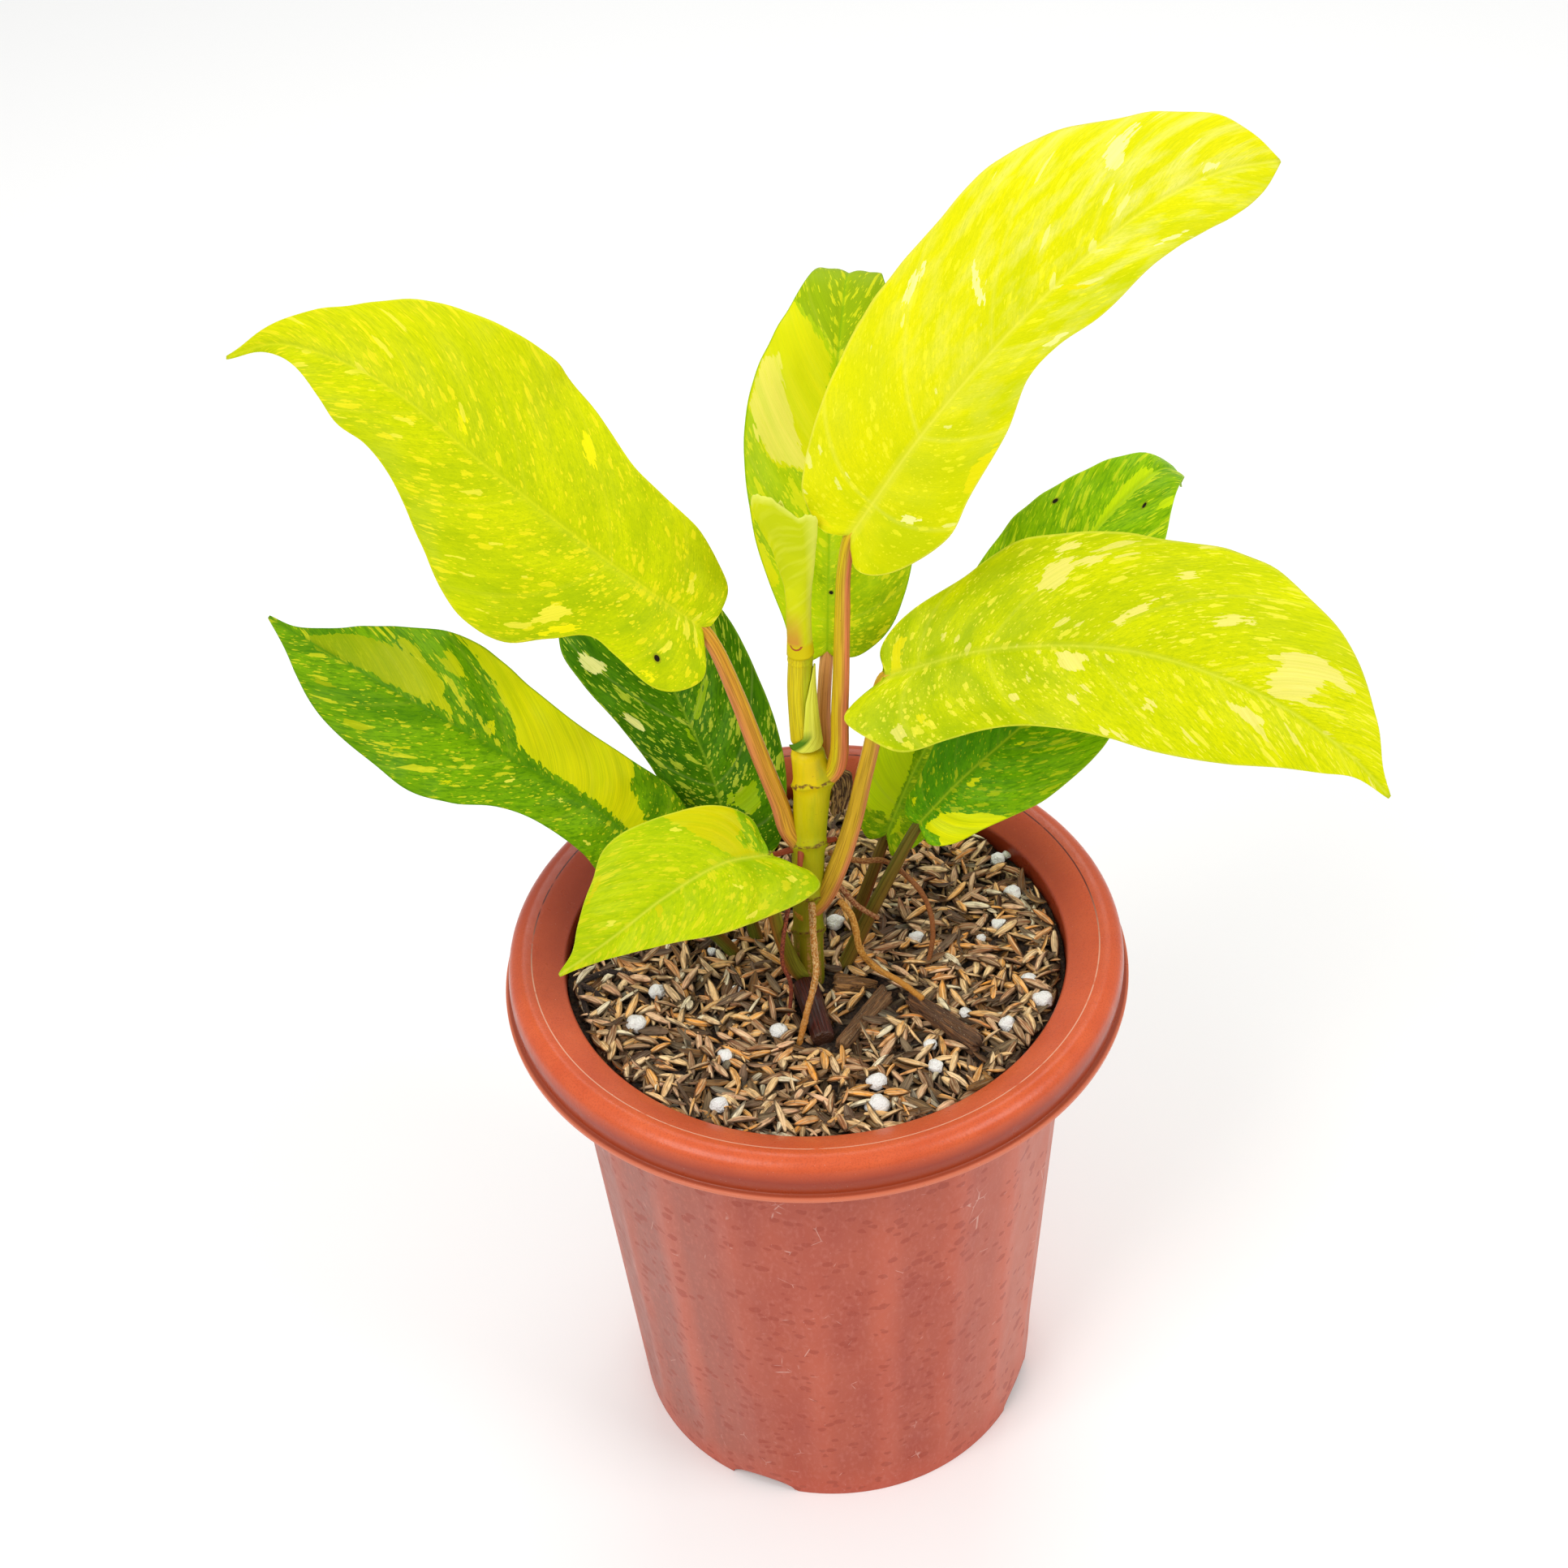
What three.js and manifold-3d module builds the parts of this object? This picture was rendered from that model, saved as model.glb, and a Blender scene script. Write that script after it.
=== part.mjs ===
import * as THREE from 'three';
import { mergeVertices } from 'three/addons/utils/BufferGeometryUtils.js';
import Module from 'manifold-3d';

// A young Thai sunrise philodendron in a fluted plastic nursery pot.
// Millimetres, +Z up. The origin is the centre of the pot's foot on the ground; the front is -Y.

const wasm = await Module();
wasm.setup();

// Pot
const footRadius = 62.85;
const bodyTopRadius = 74.4;
const bodyTopHeight = 167.7;
const wall = 2.2;
const rimTop = 182.6;
const rimTopRadius = 84;
const rimSideRadius = 88.5;
const lipRadius = 90;
const lipHeight = 170.7;
const innerEdgeRadius = 72.1;
const innerEdgeHeight = 176.7;
const floorUnderside = 5.5;
const floorThickness = 2.2;
const fluteCount = 20;
const fluteDepth = 1.0;
const fluteFirst = 12.5; // degrees from the front to one ridge between two flutes
const fluteFoot = [9, 20]; // heights between which the flutes grow to their full depth
const fluteHead = [155, 166]; // and fade again
const roundSegments = 60; // three to each flute
const notchCount = 4;
const notchFirst = -24; // degrees from the front
const notchWidth = 21;
const notchHeight = 4;
const drainCount = 6; // in a circle, with one more in the middle
const drainRadius = 4;
const drainCircle = 38;

// Soil
const soilTop = 171.2;
const hullCount = 135;
const hullSize = { length: 16.5, width: 5.4, height: 4 };
const hullSeed = 11;

// Plant
const gap = 0.3; // room between neighbouring pieces
const bladeThickness = 0.8;
const crownWidth = 25; // half width that fold, curl and ripple are stated for
const rowCrowding = 1.3; // rows lie closer together round the lobes at the base
const rowFan = 1.25; // how far the side veins sweep towards the tip
const bladeRows = 14;
const acrossShares = [0, 0.1, 0.52, 1];
const keel = { base: 1.6, tip: 0.2 }; // midrib standing out under the blade

const colours = {
  pot: '#b5472c',
  soil: '#8a6a48',
  perlite: '#ecebe6',
  stem: '#b9bf2a',
  sunny: '#d9ee12',
  lime: '#b4dc10',
  dark: '#4f9a1c',
  petioleRed: '#b9703a',
  petioleGreen: '#6d7a26',
  spear: '#cfe35a',
  sheath: '#dbe27a',
  root: '#b98a4c',
  redRoot: '#8a3a22',
  bract: '#6e4a30',
  stub: '#3c1714',
  bark: '#5f4431',
  twig: '#241d1b',
};

// Each leaf: rib from the petiole to the tip; face, where its upper side looks at base and tip;
// left and right, the margin as [share of the rib, distance from the rib] from the sinus to the tip.
const leaves = [
  {
    name: 'top_right',
    colour: colours.sunny,
    rib: [[14.5, -6.5, 325], [33.5, 4.5, 346.5], [60.5, 22.5, 367.5], [89.5, 41, 383],
      [113, 55.5, 386.5], [129.5, 63.5, 384.5]],
    face: [[0.02, -0.76, 0.65], [-0.12, -0.66, 0.74]],
    fold: 0.1,
    curl: 0.12,
    ripple: { height: 1.2, count: 2.2, turn: 0.1 },
    left: [[-0.01, 1.8], [-0.02, 6.5], [0.01, 15.5], [0.04, 18.6], [0.15, 25], [0.29, 30.6],
      [0.47, 32.4], [0.57, 33.6], [0.66, 32.3], [0.79, 25.1], [0.91, 15.3], [0.97, 7]],
    right: [[-0.02, 2], [-0.04, 6], [-0.03, 11], [0.01, 16], [0.09, 20.5], [0.16, 19], [0.29, 16],
      [0.38, 11.2], [0.45, 11], [0.54, 13.5], [0.69, 12.5], [0.87, 11.9], [0.94, 8.2]],
    petiole: {
      colour: colours.petioleRed,
      path: [[5, -6.8, 243], [7.8, -7, 249.1], [10.1, -6.9, 272.5], [11.6, -6.8, 299.7],
        [12.5, -6.6, 314.3]],
      radii: [2.8, 2.4, 2.2, 2, 1.7],
    },
  },
  {
    name: 'left',
    colour: colours.sunny,
    rib: [[-24.5, -3.5, 296.5], [-47.5, 2, 315.5], [-75.5, 13.5, 337.5], [-104, 29.5, 356.5],
      [-128, 40.5, 361], [-143.5, 46.5, 354.5]],
    face: [[0.05, -0.72, 0.69], [-0.05, -0.62, 0.78]],
    fold: 0.1,
    curl: 0.1,
    ripple: { height: 1.8, count: 2.6, turn: 0.3 },
    left: [[-0.01, 1.4], [-0.03, 5], [-0.05, 11], [-0.02, 17.8], [0.02, 20.2], [0.1, 18.7],
      [0.15, 18.2], [0.2, 24.6], [0.26, 32.5], [0.33, 34.3], [0.39, 31.7], [0.48, 24],
      [0.56, 18], [0.64, 15.2], [0.71, 14.9], [0.77, 10.6], [0.84, 5], [0.92, 1.6]],
    right: [[-0.01, 1.6], [-0.01, 6], [0, 12.2], [0.04, 16.5], [0.1, 20.4], [0.19, 21.8],
      [0.26, 23.1], [0.33, 26.7], [0.4, 29.8], [0.49, 32.3], [0.57, 30.4], [0.68, 25],
      [0.8, 13.8], [0.9, 5.6], [0.95, 2.3]],
    petiole: {
      colour: colours.petioleRed,
      path: [[-2, -6.8, 223], [-5.4, -7, 228.6], [-7.6, -6.3, 238.4], [-12.1, -5.6, 255.3],
        [-16.5, -4.9, 273.1], [-21.8, -4.2, 290.9]],
      radii: [2.9, 2.5, 2.4, 2.2, 1.9],
    },
  },
  {
    name: 'right',
    colour: colours.sunny,
    rib: [[22, -10, 282.5], [49.5, -11.5, 290.5], [85, -17, 291.5], [118, -25.5, 281],
      [138.5, -32, 267], [150, -37, 255]],
    face: [[-0.05, -0.66, 0.75], [0.28, -0.72, 0.64]],
    fold: 0.12,
    curl: 0.16,
    ripple: { height: 1.4, count: 2, turn: 0.6 },
    left: [[0, 1.5], [0, 6.5], [0.04, 12.1], [0.11, 16.4], [0.17, 19.5], [0.24, 26.8],
      [0.34, 29.7], [0.47, 31.1], [0.6, 34], [0.7, 29.3], [0.84, 17.7], [0.95, 4.1]],
    right: [[-0.01, 1.6], [-0.07, 5], [-0.09, 8.4], [-0.05, 15.5], [0, 20.5], [0.08, 20.4],
      [0.25, 20.4], [0.43, 23.1], [0.54, 23.7], [0.7, 19.2], [0.86, 8.9], [0.93, 3.2]],
    petiole: {
      colour: colours.petioleRed,
      path: [[-1, -7, 199], [2.5, -7.2, 202.8], [7.5, -7.6, 214.7], [12.5, -8.1, 232.5],
        [15.5, -8.8, 247.4], [18, -9.5, 259.6]],
      radii: [3.2, 2.8, 2.4, 2.2, 1.9],
    },
  },
  {
    name: 'back_centre',
    colour: colours.lime,
    rib: [[7.5, 6.5, 279], [9, 17.5, 297], [11, 33.5, 318], [14, 51.5, 337], [16.5, 66, 346.5],
      [18.5, 77.5, 350.8], [20, 84.3, 346], [21, 86.8, 337], [21.5, 87, 328]],
    face: [[0, -0.86, 0.51], [0, 0.1, 1]],
    fold: 0.08,
    curl: 0.1,
    ripple: { height: 1, count: 2, turn: 0 },
    left: [[-0.01, 1.5], [-0.02, 5], [0.01, 9], [0.07, 12], [0.14, 15.8], [0.22, 19.4], [0.29, 21.2],
      [0.38, 23], [0.47, 23.1], [0.55, 21.4], [0.63, 17.8], [0.71, 13.7], [0.79, 9.4], [0.87, 6.6],
      [0.95, 3.2]],
    right: [[-0.01, 1.5], [-0.01, 7.5], [0.01, 12], [0.05, 16.8], [0.12, 20.2], [0.2, 22.4],
      [0.32, 24], [0.46, 23.4], [0.58, 20], [0.68, 15.4], [0.77, 10.6], [0.87, 6.6], [0.95, 3.2]],
    petiole: {
      colour: colours.petioleRed,
      path: [[2, -3.5, 238], [4.6, -1.2, 244], [5.7, 0.9, 253.8], [5.8, 2.8, 262.1], [6.7, 4.6, 273]],
      radii: [2.3, 2, 1.9, 1.8],
    },
  },
  {
    name: 'low_left',
    colour: colours.dark,
    rib: [[-41.5, 2, 212], [-61, 6.5, 231], [-89.5, 15, 249], [-118.5, 29, 261.5],
      [-138, 44.5, 264.5], [-149.5, 56.5, 264]],
    face: [[0, -0.62, 0.78], [-0.12, -0.6, 0.79]],
    fold: 0.16,
    curl: 0.1,
    ripple: { height: 1.4, count: 2.4, turn: 0.4 },
    left: [[-0.01, 1.5], [-0.05, 5], [-0.04, 10], [0.02, 13.4], [0.09, 13.7], [0.15, 12.2],
      [0.28, 12], [0.35, 13.8], [0.43, 19], [0.51, 21.9], [0.6, 20.3], [0.69, 18.2],
      [0.76, 15.2], [0.84, 9.8], [0.92, 4.4]],
    right: [[-0.01, 1.5], [-0.05, 5], [-0.04, 10], [0.01, 14.8], [0.09, 17.5], [0.17, 16.8],
      [0.29, 17], [0.4, 19.5], [0.53, 22.8], [0.61, 21.3], [0.68, 17.1], [0.76, 12],
      [0.84, 5.8], [0.92, 1.6]],
    petiole: {
      colour: colours.petioleGreen,
      path: [[-20.5, 5, 163], [-23.5, 4.5, 172], [-30.7, 3.2, 185.3], [-38, 2.4, 203]],
      radii: [2, 1.9, 1.8, 1.6],
    },
  },
  {
    name: 'back_left',
    colour: colours.dark,
    rib: [[-22.5, 14, 203], [-26, 24, 221], [-35, 39, 240], [-45, 55.5, 257.5], [-51, 70.5, 266.5],
      [-55, 81.5, 271]],
    face: [[0, -0.72, 0.69], [0, -0.72, 0.69]],
    fold: 0.16,
    curl: 0.1,
    ripple: { height: 1.2, count: 1.8, turn: 0.2 },
    left: [[-0.01, 1.5], [-0.04, 6], [-0.01, 12], [0.1, 14.2], [0.2, 14.2], [0.32, 15.2],
      [0.46, 18.5], [0.6, 22.5], [0.7, 24], [0.8, 20], [0.9, 11], [0.96, 4.4]],
    right: [[-0.01, 1.5], [-0.04, 6], [-0.01, 13.5], [0.13, 19], [0.26, 22], [0.4, 23.3],
      [0.6, 22.7], [0.75, 18], [0.88, 10], [0.95, 4.6]],
    petiole: {
      colour: colours.petioleGreen,
      path: [[-14, 7, 163], [-16.5, 9, 172], [-20, 11.5, 190]],
      radii: [2, 1.9, 1.8, 1.6],
    },
  },
  {
    name: 'small_front',
    colour: colours.lime,
    rib: [[-11, -18, 230], [-23.5, -24, 233], [-39, -31, 228.5], [-53.5, -37, 220.5],
      [-63, -37, 212.5], [-69.5, -36, 206.5]],
    face: [[0.05, -0.6, 0.8], [-0.2, -0.66, 0.72]],
    fold: 0.14,
    curl: 0.12,
    ripple: { height: 0.8, count: 1.6, turn: 0.5 },
    left: [[-0.01, 1.2], [-0.09, 4.2], [-0.15, 6.9], [-0.17, 11], [-0.1, 14], [0.02, 16.2],
      [0.17, 18], [0.33, 17.1], [0.47, 13.5], [0.59, 9.5], [0.75, 4.4], [0.89, 1.7]],
    right: [[0, 1.2], [0.01, 5], [0.05, 10.6], [0.16, 15.6], [0.27, 18.2], [0.42, 20.6],
      [0.53, 20.2], [0.62, 15.9], [0.7, 13], [0.8, 8], [0.9, 3]],
    petiole: {
      colour: colours.petioleGreen,
      path: [[-2, -7.5, 172.5], [-5.6, -10.4, 179], [-8.4, -12.4, 190], [-10.6, -15, 203.9],
        [-11.2, -17.2, 219]],
      radii: [2.6, 2.3, 2, 1.7, 1.5],
    },
  },
  {
    name: 'back_right',
    colour: colours.dark,
    rib: [[22, 16, 204.5], [34, 27, 226], [54, 38.5, 250], [77, 53.5, 269], [93.5, 67, 280],
      [104.5, 76, 283.5], [110.5, 82, 279], [113, 85, 272]],
    face: [[-0.05, -0.72, 0.69], [-0.1, -0.3, 0.95]],
    fold: 0.14,
    curl: 0.1,
    ripple: { height: 1.2, count: 2, turn: 0.7 },
    left: [[-0.01, 1.5], [-0.02, 4], [0, 8], [0.07, 12], [0.18, 14], [0.31, 16], [0.48, 18.6],
      [0.56, 20.5], [0.63, 21], [0.7, 19.2], [0.77, 15.2], [0.84, 11], [0.9, 6.4], [0.96, 2.8]],
    right: [[-0.01, 1.5], [-0.03, 4], [0, 8.5], [0.09, 14], [0.22, 19], [0.45, 22], [0.62, 21.5],
      [0.71, 19.7], [0.77, 17.2], [0.83, 12], [0.88, 6.8], [0.96, 2.2]],
    petiole: {
      colour: colours.petioleRed,
      path: [[8.6, 11.6, 163], [11, 12.3, 172], [16.8, 14, 189]],
      radii: [2, 1.9, 1.8, 1.6],
    },
  },
  {
    name: 'low_right',
    colour: colours.dark,
    rib: [[30.5, 2.3, 220], [42, 5.3, 232], [58, 11, 244], [75, 19.5, 253.3], [87, 28.6, 255.2],
      [94.5, 35.2, 254.7]],
    face: [[0, -0.66, 0.75], [0.1, -0.66, 0.75]],
    fold: 0.14,
    curl: 0.1,
    ripple: { height: 1.1, count: 1.8, turn: 0.1 },
    left: [[-0.01, 1.4], [-0.01, 4], [0.04, 7.3], [0.09, 8], [0.18, 10.4], [0.3, 15], [0.45, 18],
      [0.6, 17.5], [0.75, 13], [0.88, 7], [0.95, 3]],
    right: [[-0.01, 1.6], [-0.02, 6], [0.04, 10.8], [0.16, 14.3], [0.29, 17.7], [0.38, 19.5],
      [0.6, 19.3], [0.7, 17], [0.82, 11], [0.92, 5]],
    petiole: {
      colour: colours.petioleGreen,
      path: [[3.6, -4.6, 164], [8.1, -3, 172], [19.4, 0.6, 196.4]],
      radii: [2.2, 2.1, 1.9, 1.6],
    },
  },
];

const stemPath = [[-1.9, -6.5, 158], [-1.9, -6.5, 172], [-1.7, -6.2, 188.7], [-0.3, -6, 220.8],
  [1.5, -5.8, 244], [0.6, -5.6, 257.4]];
const stemRadii = [4.4, 4.2, 4.2, 4.4, 4.7, 5, 4.5];
const nodeHeights = [189, 202, 221.5, 244.3];
const nodeSwell = 0.55;

// Short root pegs round the middle node: root and tip
const pegs = [
  [[-2, -7, 220.4], [-9.6, -8.2, 218.6]],
  [[-0.6, -8, 220.6], [-2.6, -13.2, 214.6]],
  [[2, -6, 221], [7.4, -4.6, 220.8]],
];

const aerialRoots = [
  {
    name: 'front',
    path: [[-0.2, -11.6, 205.8], [-0.3, -16.8, 198], [-0.2, -22.5, 188.5], [-3.4, -29, 179.4],
      [-6.4, -33.6, 170]],
    radius: 0.95,
    colour: colours.root,
  },
  {
    name: 'right',
    path: [[7.4, -9.4, 204], [10.8, -12, 199.5], [12.7, -13.5, 188], [16.4, -12.6, 180.6],
      [23.4, -17.2, 178.4], [29.6, -24.2, 178]],
    radius: 0.95,
    colour: colours.root,
  },
  {
    name: 'short',
    path: [[7.6, -6, 206.4], [12, -6.6, 199.4], [18.4, -4.6, 191.4]],
    radius: 0.8,
    colour: colours.redRoot,
  },
  {
    name: 'far_right',
    path: [[5.4, -1.4, 214.6], [14, 5.8, 204.4], [21.4, 7.6, 202], [31.6, 3.6, 192], [34, -0.6, 181.4],
      [31.4, -5.4, 169]],
    radius: 0.8,
    colour: colours.root,
  },
  {
    name: 'thin',
    path: [[-6.4, -10.4, 205.6], [-8.6, -17, 198], [-9.3, -19.2, 190], [-7.4, -20.4, 183],
      [-8.9, -23.4, 169]],
    radius: 0.6,
    colour: colours.redRoot,
  },
];

// Bits lying on the soil: corners seen from above, and how thick each piece is
const barkPieces = [
  { name: 'long', corners: [[27.5, -17.8], [24.5, -20.8], [42, -42.1], [46.3, -36.8]], top: 176.4 },
  { name: 'short', corners: [[18.1, -12.8], [21.5, -18.6], [7, -37.6], [3.9, -34.4]], top: 174.9 },
  { name: 'flake', corners: [[5.6, -6.4], [17, -11.9], [4.2, -14.6]], top: 174.4 },
];
const barkUnderside = 170.6;
const twigArms = [
  [[-69, -4.4, 172.6], [-60, -3, 174.4], [-50.4, -2.6, 172.2]],
  [[-68.6, -4.8, 172.6], [-63.6, -10.4, 174], [-57.8, -16.2, 172]],
  [[-68.8, -5, 172.6], [-66.6, -14, 173.6], [-63.4, -24, 171.8]],
];
const twigRadius = 0.9;
const stubPath = [[-3.4, -12.6, 174.6], [-1.4, -22, 174.4], [1, -33.6, 173.4]];
const stubRadius = 3.6;

// The new leaf: its petiole, the pale sheath beside it and the blade still rolled up above
const spearPetiolePath = [[0.5, -5.5, 257.9], [0.1, -5.4, 266], [-0.1, -5.2, 277], [0.4, -5, 289]];
const spearPetioleRadii = [4, 3.7, 3.5, 3.2];
const spear = {
  axis: [[0.4, -5, 289.6], [0.8, -5.4, 303], [-0.6, -6, 317.6], [-2.4, -6.5, 329]],
  radii: [2.9, 3.3, 4.1, 5.6, 7.8],
  turns: 1.2,
  firstTurn: 0.42, // where the inner edge lies, in turns from +X
  layerStep: 1.2, // how much closer to the axis each full turn lies
  flatness: 0.72, // depth over width of the roll
  lipLift: 5, // how far the open top rises at its highest side
  lipSide: 2.6, // radians from +X to that side
  thickness: 0.7,
};
const sheathWrap = { foot: 1.9, top: 0.35, side: -0.35, reach: 0.76, thickness: 0.7 };

// Perlite grains: place on the soil and radius
const perliteGrains = [[14.8, -50.2, 2.9], [14.6, -58.8, 3.3], [31.4, -45.4, 2.2], [52.6, -30.6, 2.6],
  [60.3, -13.6, 2.4], [63.4, -22.2, 3], [56, 38, 2.3], [59, 22.9, 2.6], [54, 9.6, 2.3], [29.6, 6.4, 2.2],
  [6.2, 14.4, 2.8], [-45.7, -10.5, 2.6], [-51.6, -22.8, 2.9], [-26.7, -37.2, 2.4], [-11.6, -28.6, 2.6],
  [-28.5, -55.7, 2.5]];

const vector = (point) => new THREE.Vector3(...point);
const smooth = (points) => new THREE.CatmullRomCurve3(points.map(vector));

// Value at a share from 0 to 1 of an evenly spaced list, straight between its entries.
function along(values, share) {
  const place = THREE.MathUtils.clamp(share, 0, 1) * (values.length - 1);
  const before = Math.min(Math.floor(place), values.length - 2);
  return THREE.MathUtils.lerp(values[before], values[before + 1], place - before);
}

// Repeatable draws between 0 and 1.
function seededDraws(seed) {
  let state = seed;
  return () => {
    state = (state * 1664525 + 1013904223) % 4294967296;
    return state / 4294967296;
  };
}

// Indexed mesh with its faces turned outward, whichever way round they were listed.
function closedMesh(points, triangles) {
  let volume = 0;
  for (const [a, b, c] of triangles) {
    volume += points[a].dot(points[b].clone().cross(points[c]));
  }
  const turned = volume > 0 ? triangles : triangles.map(([a, b, c]) => [a, c, b]);
  const geometry = new THREE.BufferGeometry().setFromPoints(points);
  geometry.setIndex(turned.flat());
  return geometry;
}

function toSolid(geometry) {
  geometry.deleteAttribute('normal');
  geometry.deleteAttribute('uv');
  const merged = mergeVertices(geometry, 1e-4);
  return new wasm.Manifold(new wasm.Mesh({
    numProp: 3,
    vertProperties: merged.attributes.position.array,
    triVerts: Uint32Array.from(merged.index.array),
  }));
}

function toGeometry(solid) {
  const { vertProperties, triVerts } = solid.getMesh();
  const geometry = new THREE.BufferGeometry();
  geometry.setAttribute('position', new THREE.BufferAttribute(vertProperties, 3));
  geometry.setIndex(new THREE.BufferAttribute(triVerts, 1));
  geometry.computeVertexNormals();
  return geometry;
}

// A cut can leave scraps: only the biggest body is the piece.
function biggestBody(solid) {
  const bodies = solid.decompose();
  return bodies.reduce((best, body) => (body.volume() > best.volume() ? body : best));
}

const cutClear = (solid, neighbours) => biggestBody(
  neighbours.reduce((left, neighbour) => left.subtract(neighbour), solid));

// Closed skin over a row of rings with equal point counts; each end is a fan round its centre.
function skin(rings) {
  const count = rings[0].length;
  const points = rings.flat();
  const triangles = [];
  for (let i = 0; i < rings.length - 1; i += 1) {
    for (let j = 0; j < count; j += 1) {
      const a = i * count + j;
      const b = i * count + ((j + 1) % count);
      triangles.push([a, b, b + count], [a, b + count, a + count]);
    }
  }
  for (const [start, flip] of [[0, true], [(rings.length - 1) * count, false]]) {
    const centre = new THREE.Vector3();
    for (let j = 0; j < count; j += 1) {
      centre.addScaledVector(points[start + j], 1 / count);
    }
    points.push(centre);
    for (let j = 0; j < count; j += 1) {
      const next = start + ((j + 1) % count);
      const ends = flip ? [next, start + j] : [start + j, next];
      triangles.push([...ends, points.length - 1]);
    }
  }
  return closedMesh(points, triangles);
}

// Round rod along a smooth path; grow fattens it and lengthens both ends.
function rod(path, radiusAt, { sides = 7, steps = 8, grow = 0 } = {}) {
  const curve = smooth(path);
  const { tangents, normals, binormals } = curve.computeFrenetFrames(steps);
  const rings = [];
  for (let i = 0; i <= steps; i += 1) {
    const share = i / steps;
    const centre = curve.getPointAt(share);
    if (i === 0) centre.addScaledVector(tangents[i], -grow);
    if (i === steps) centre.addScaledVector(tangents[i], grow);
    const radius = radiusAt(share) + grow;
    const ring = [];
    for (let j = 0; j < sides; j += 1) {
      const angle = (j / sides) * 2 * Math.PI;
      ring.push(centre.clone()
        .addScaledVector(normals[i], radius * Math.cos(angle))
        .addScaledVector(binormals[i], radius * Math.sin(angle)));
    }
    rings.push(ring);
  }
  return toSolid(skin(rings));
}

// Sheet of even thickness from a grid of middle points, closed round its edge. below gives the
// extra depth of the underside at a grid point.
function sheet(rows, columns, pointAt, thickness, below = () => 0) {
  const middle = [];
  for (let i = 0; i <= rows; i += 1) {
    for (let j = 0; j <= columns; j += 1) {
      middle.push(pointAt(i, j));
    }
  }
  const index = (i, j) => i * (columns + 1) + j;
  const clampRow = (i) => THREE.MathUtils.clamp(i, 0, rows);
  const clampColumn = (j) => THREE.MathUtils.clamp(j, 0, columns);
  const upper = [];
  const lower = [];
  for (let i = 0; i <= rows; i += 1) {
    for (let j = 0; j <= columns; j += 1) {
      const alongRows = middle[index(clampRow(i + 1), j)].clone().sub(middle[index(clampRow(i - 1), j)]);
      const across = middle[index(i, clampColumn(j + 1))].clone()
        .sub(middle[index(i, clampColumn(j - 1))]);
      const up = alongRows.cross(across).normalize();
      const point = middle[index(i, j)];
      upper.push(point.clone().addScaledVector(up, thickness / 2));
      lower.push(point.clone().addScaledVector(up, -thickness / 2 - below(i, j)));
    }
  }
  const count = upper.length;
  const triangles = [];
  for (let i = 0; i < rows; i += 1) {
    for (let j = 0; j < columns; j += 1) {
      const [a, b, c, d] = [index(i, j), index(i, j + 1), index(i + 1, j + 1), index(i + 1, j)];
      triangles.push([a, b, c], [a, c, d]);
      triangles.push([a + count, c + count, b + count], [a + count, d + count, c + count]);
    }
  }
  const edge = [];
  for (let j = 0; j < columns; j += 1) edge.push(index(0, j));
  for (let i = 0; i < rows; i += 1) edge.push(index(i, columns));
  for (let j = columns; j > 0; j -= 1) edge.push(index(rows, j));
  for (let i = rows; i > 0; i -= 1) edge.push(index(i, 0));
  edge.forEach((a, k) => {
    const b = edge[(k + 1) % edge.length];
    triangles.push([a, a + count, b + count], [a, b + count, b]);
  });
  return closedMesh([...upper, ...lower], triangles);
}

// Turned body from a profile of [radius, height] points that starts and ends on the axis.
function turned(profile, firstAngle = 0) {
  const points = profile.map(([radius, height]) => new THREE.Vector2(radius, height));
  const start = THREE.MathUtils.degToRad(firstAngle);
  return new THREE.LatheGeometry(points, roundSegments, start, 2 * Math.PI).rotateX(Math.PI / 2);
}

// A radius of the body wall at a height, and the same for its inner side.
const bodyRadius = (height) => THREE.MathUtils.mapLinear(
  height, 0, bodyTopHeight, footRadius, bodyTopRadius);
const innerRadius = (height) => Math.min(bodyRadius(height) - wall, innerEdgeRadius);

// Twenty shallow flutes: the wall draws in between the ridges, and fades out at foot and rim.
function flute(geometry) {
  const position = geometry.attributes.position;
  const point = new THREE.Vector3();
  for (let i = 0; i < position.count; i += 1) {
    point.fromBufferAttribute(position, i);
    const radius = Math.hypot(point.x, point.y);
    const fade = THREE.MathUtils.smoothstep(point.z, ...fluteFoot)
      * (1 - THREE.MathUtils.smoothstep(point.z, ...fluteHead));
    if (radius > bodyRadius(point.z) - wall / 2 && radius < bodyRadius(point.z) + 1 && fade > 0) {
      const angle = Math.atan2(point.x, -point.y) - THREE.MathUtils.degToRad(fluteFirst);
      const drawnIn = fluteDepth * fade * Math.sin(angle * fluteCount / 2) ** 2;
      position.setXY(i, point.x * (1 - drawnIn / radius), point.y * (1 - drawnIn / radius));
    }
  }
  return geometry;
}

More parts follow.
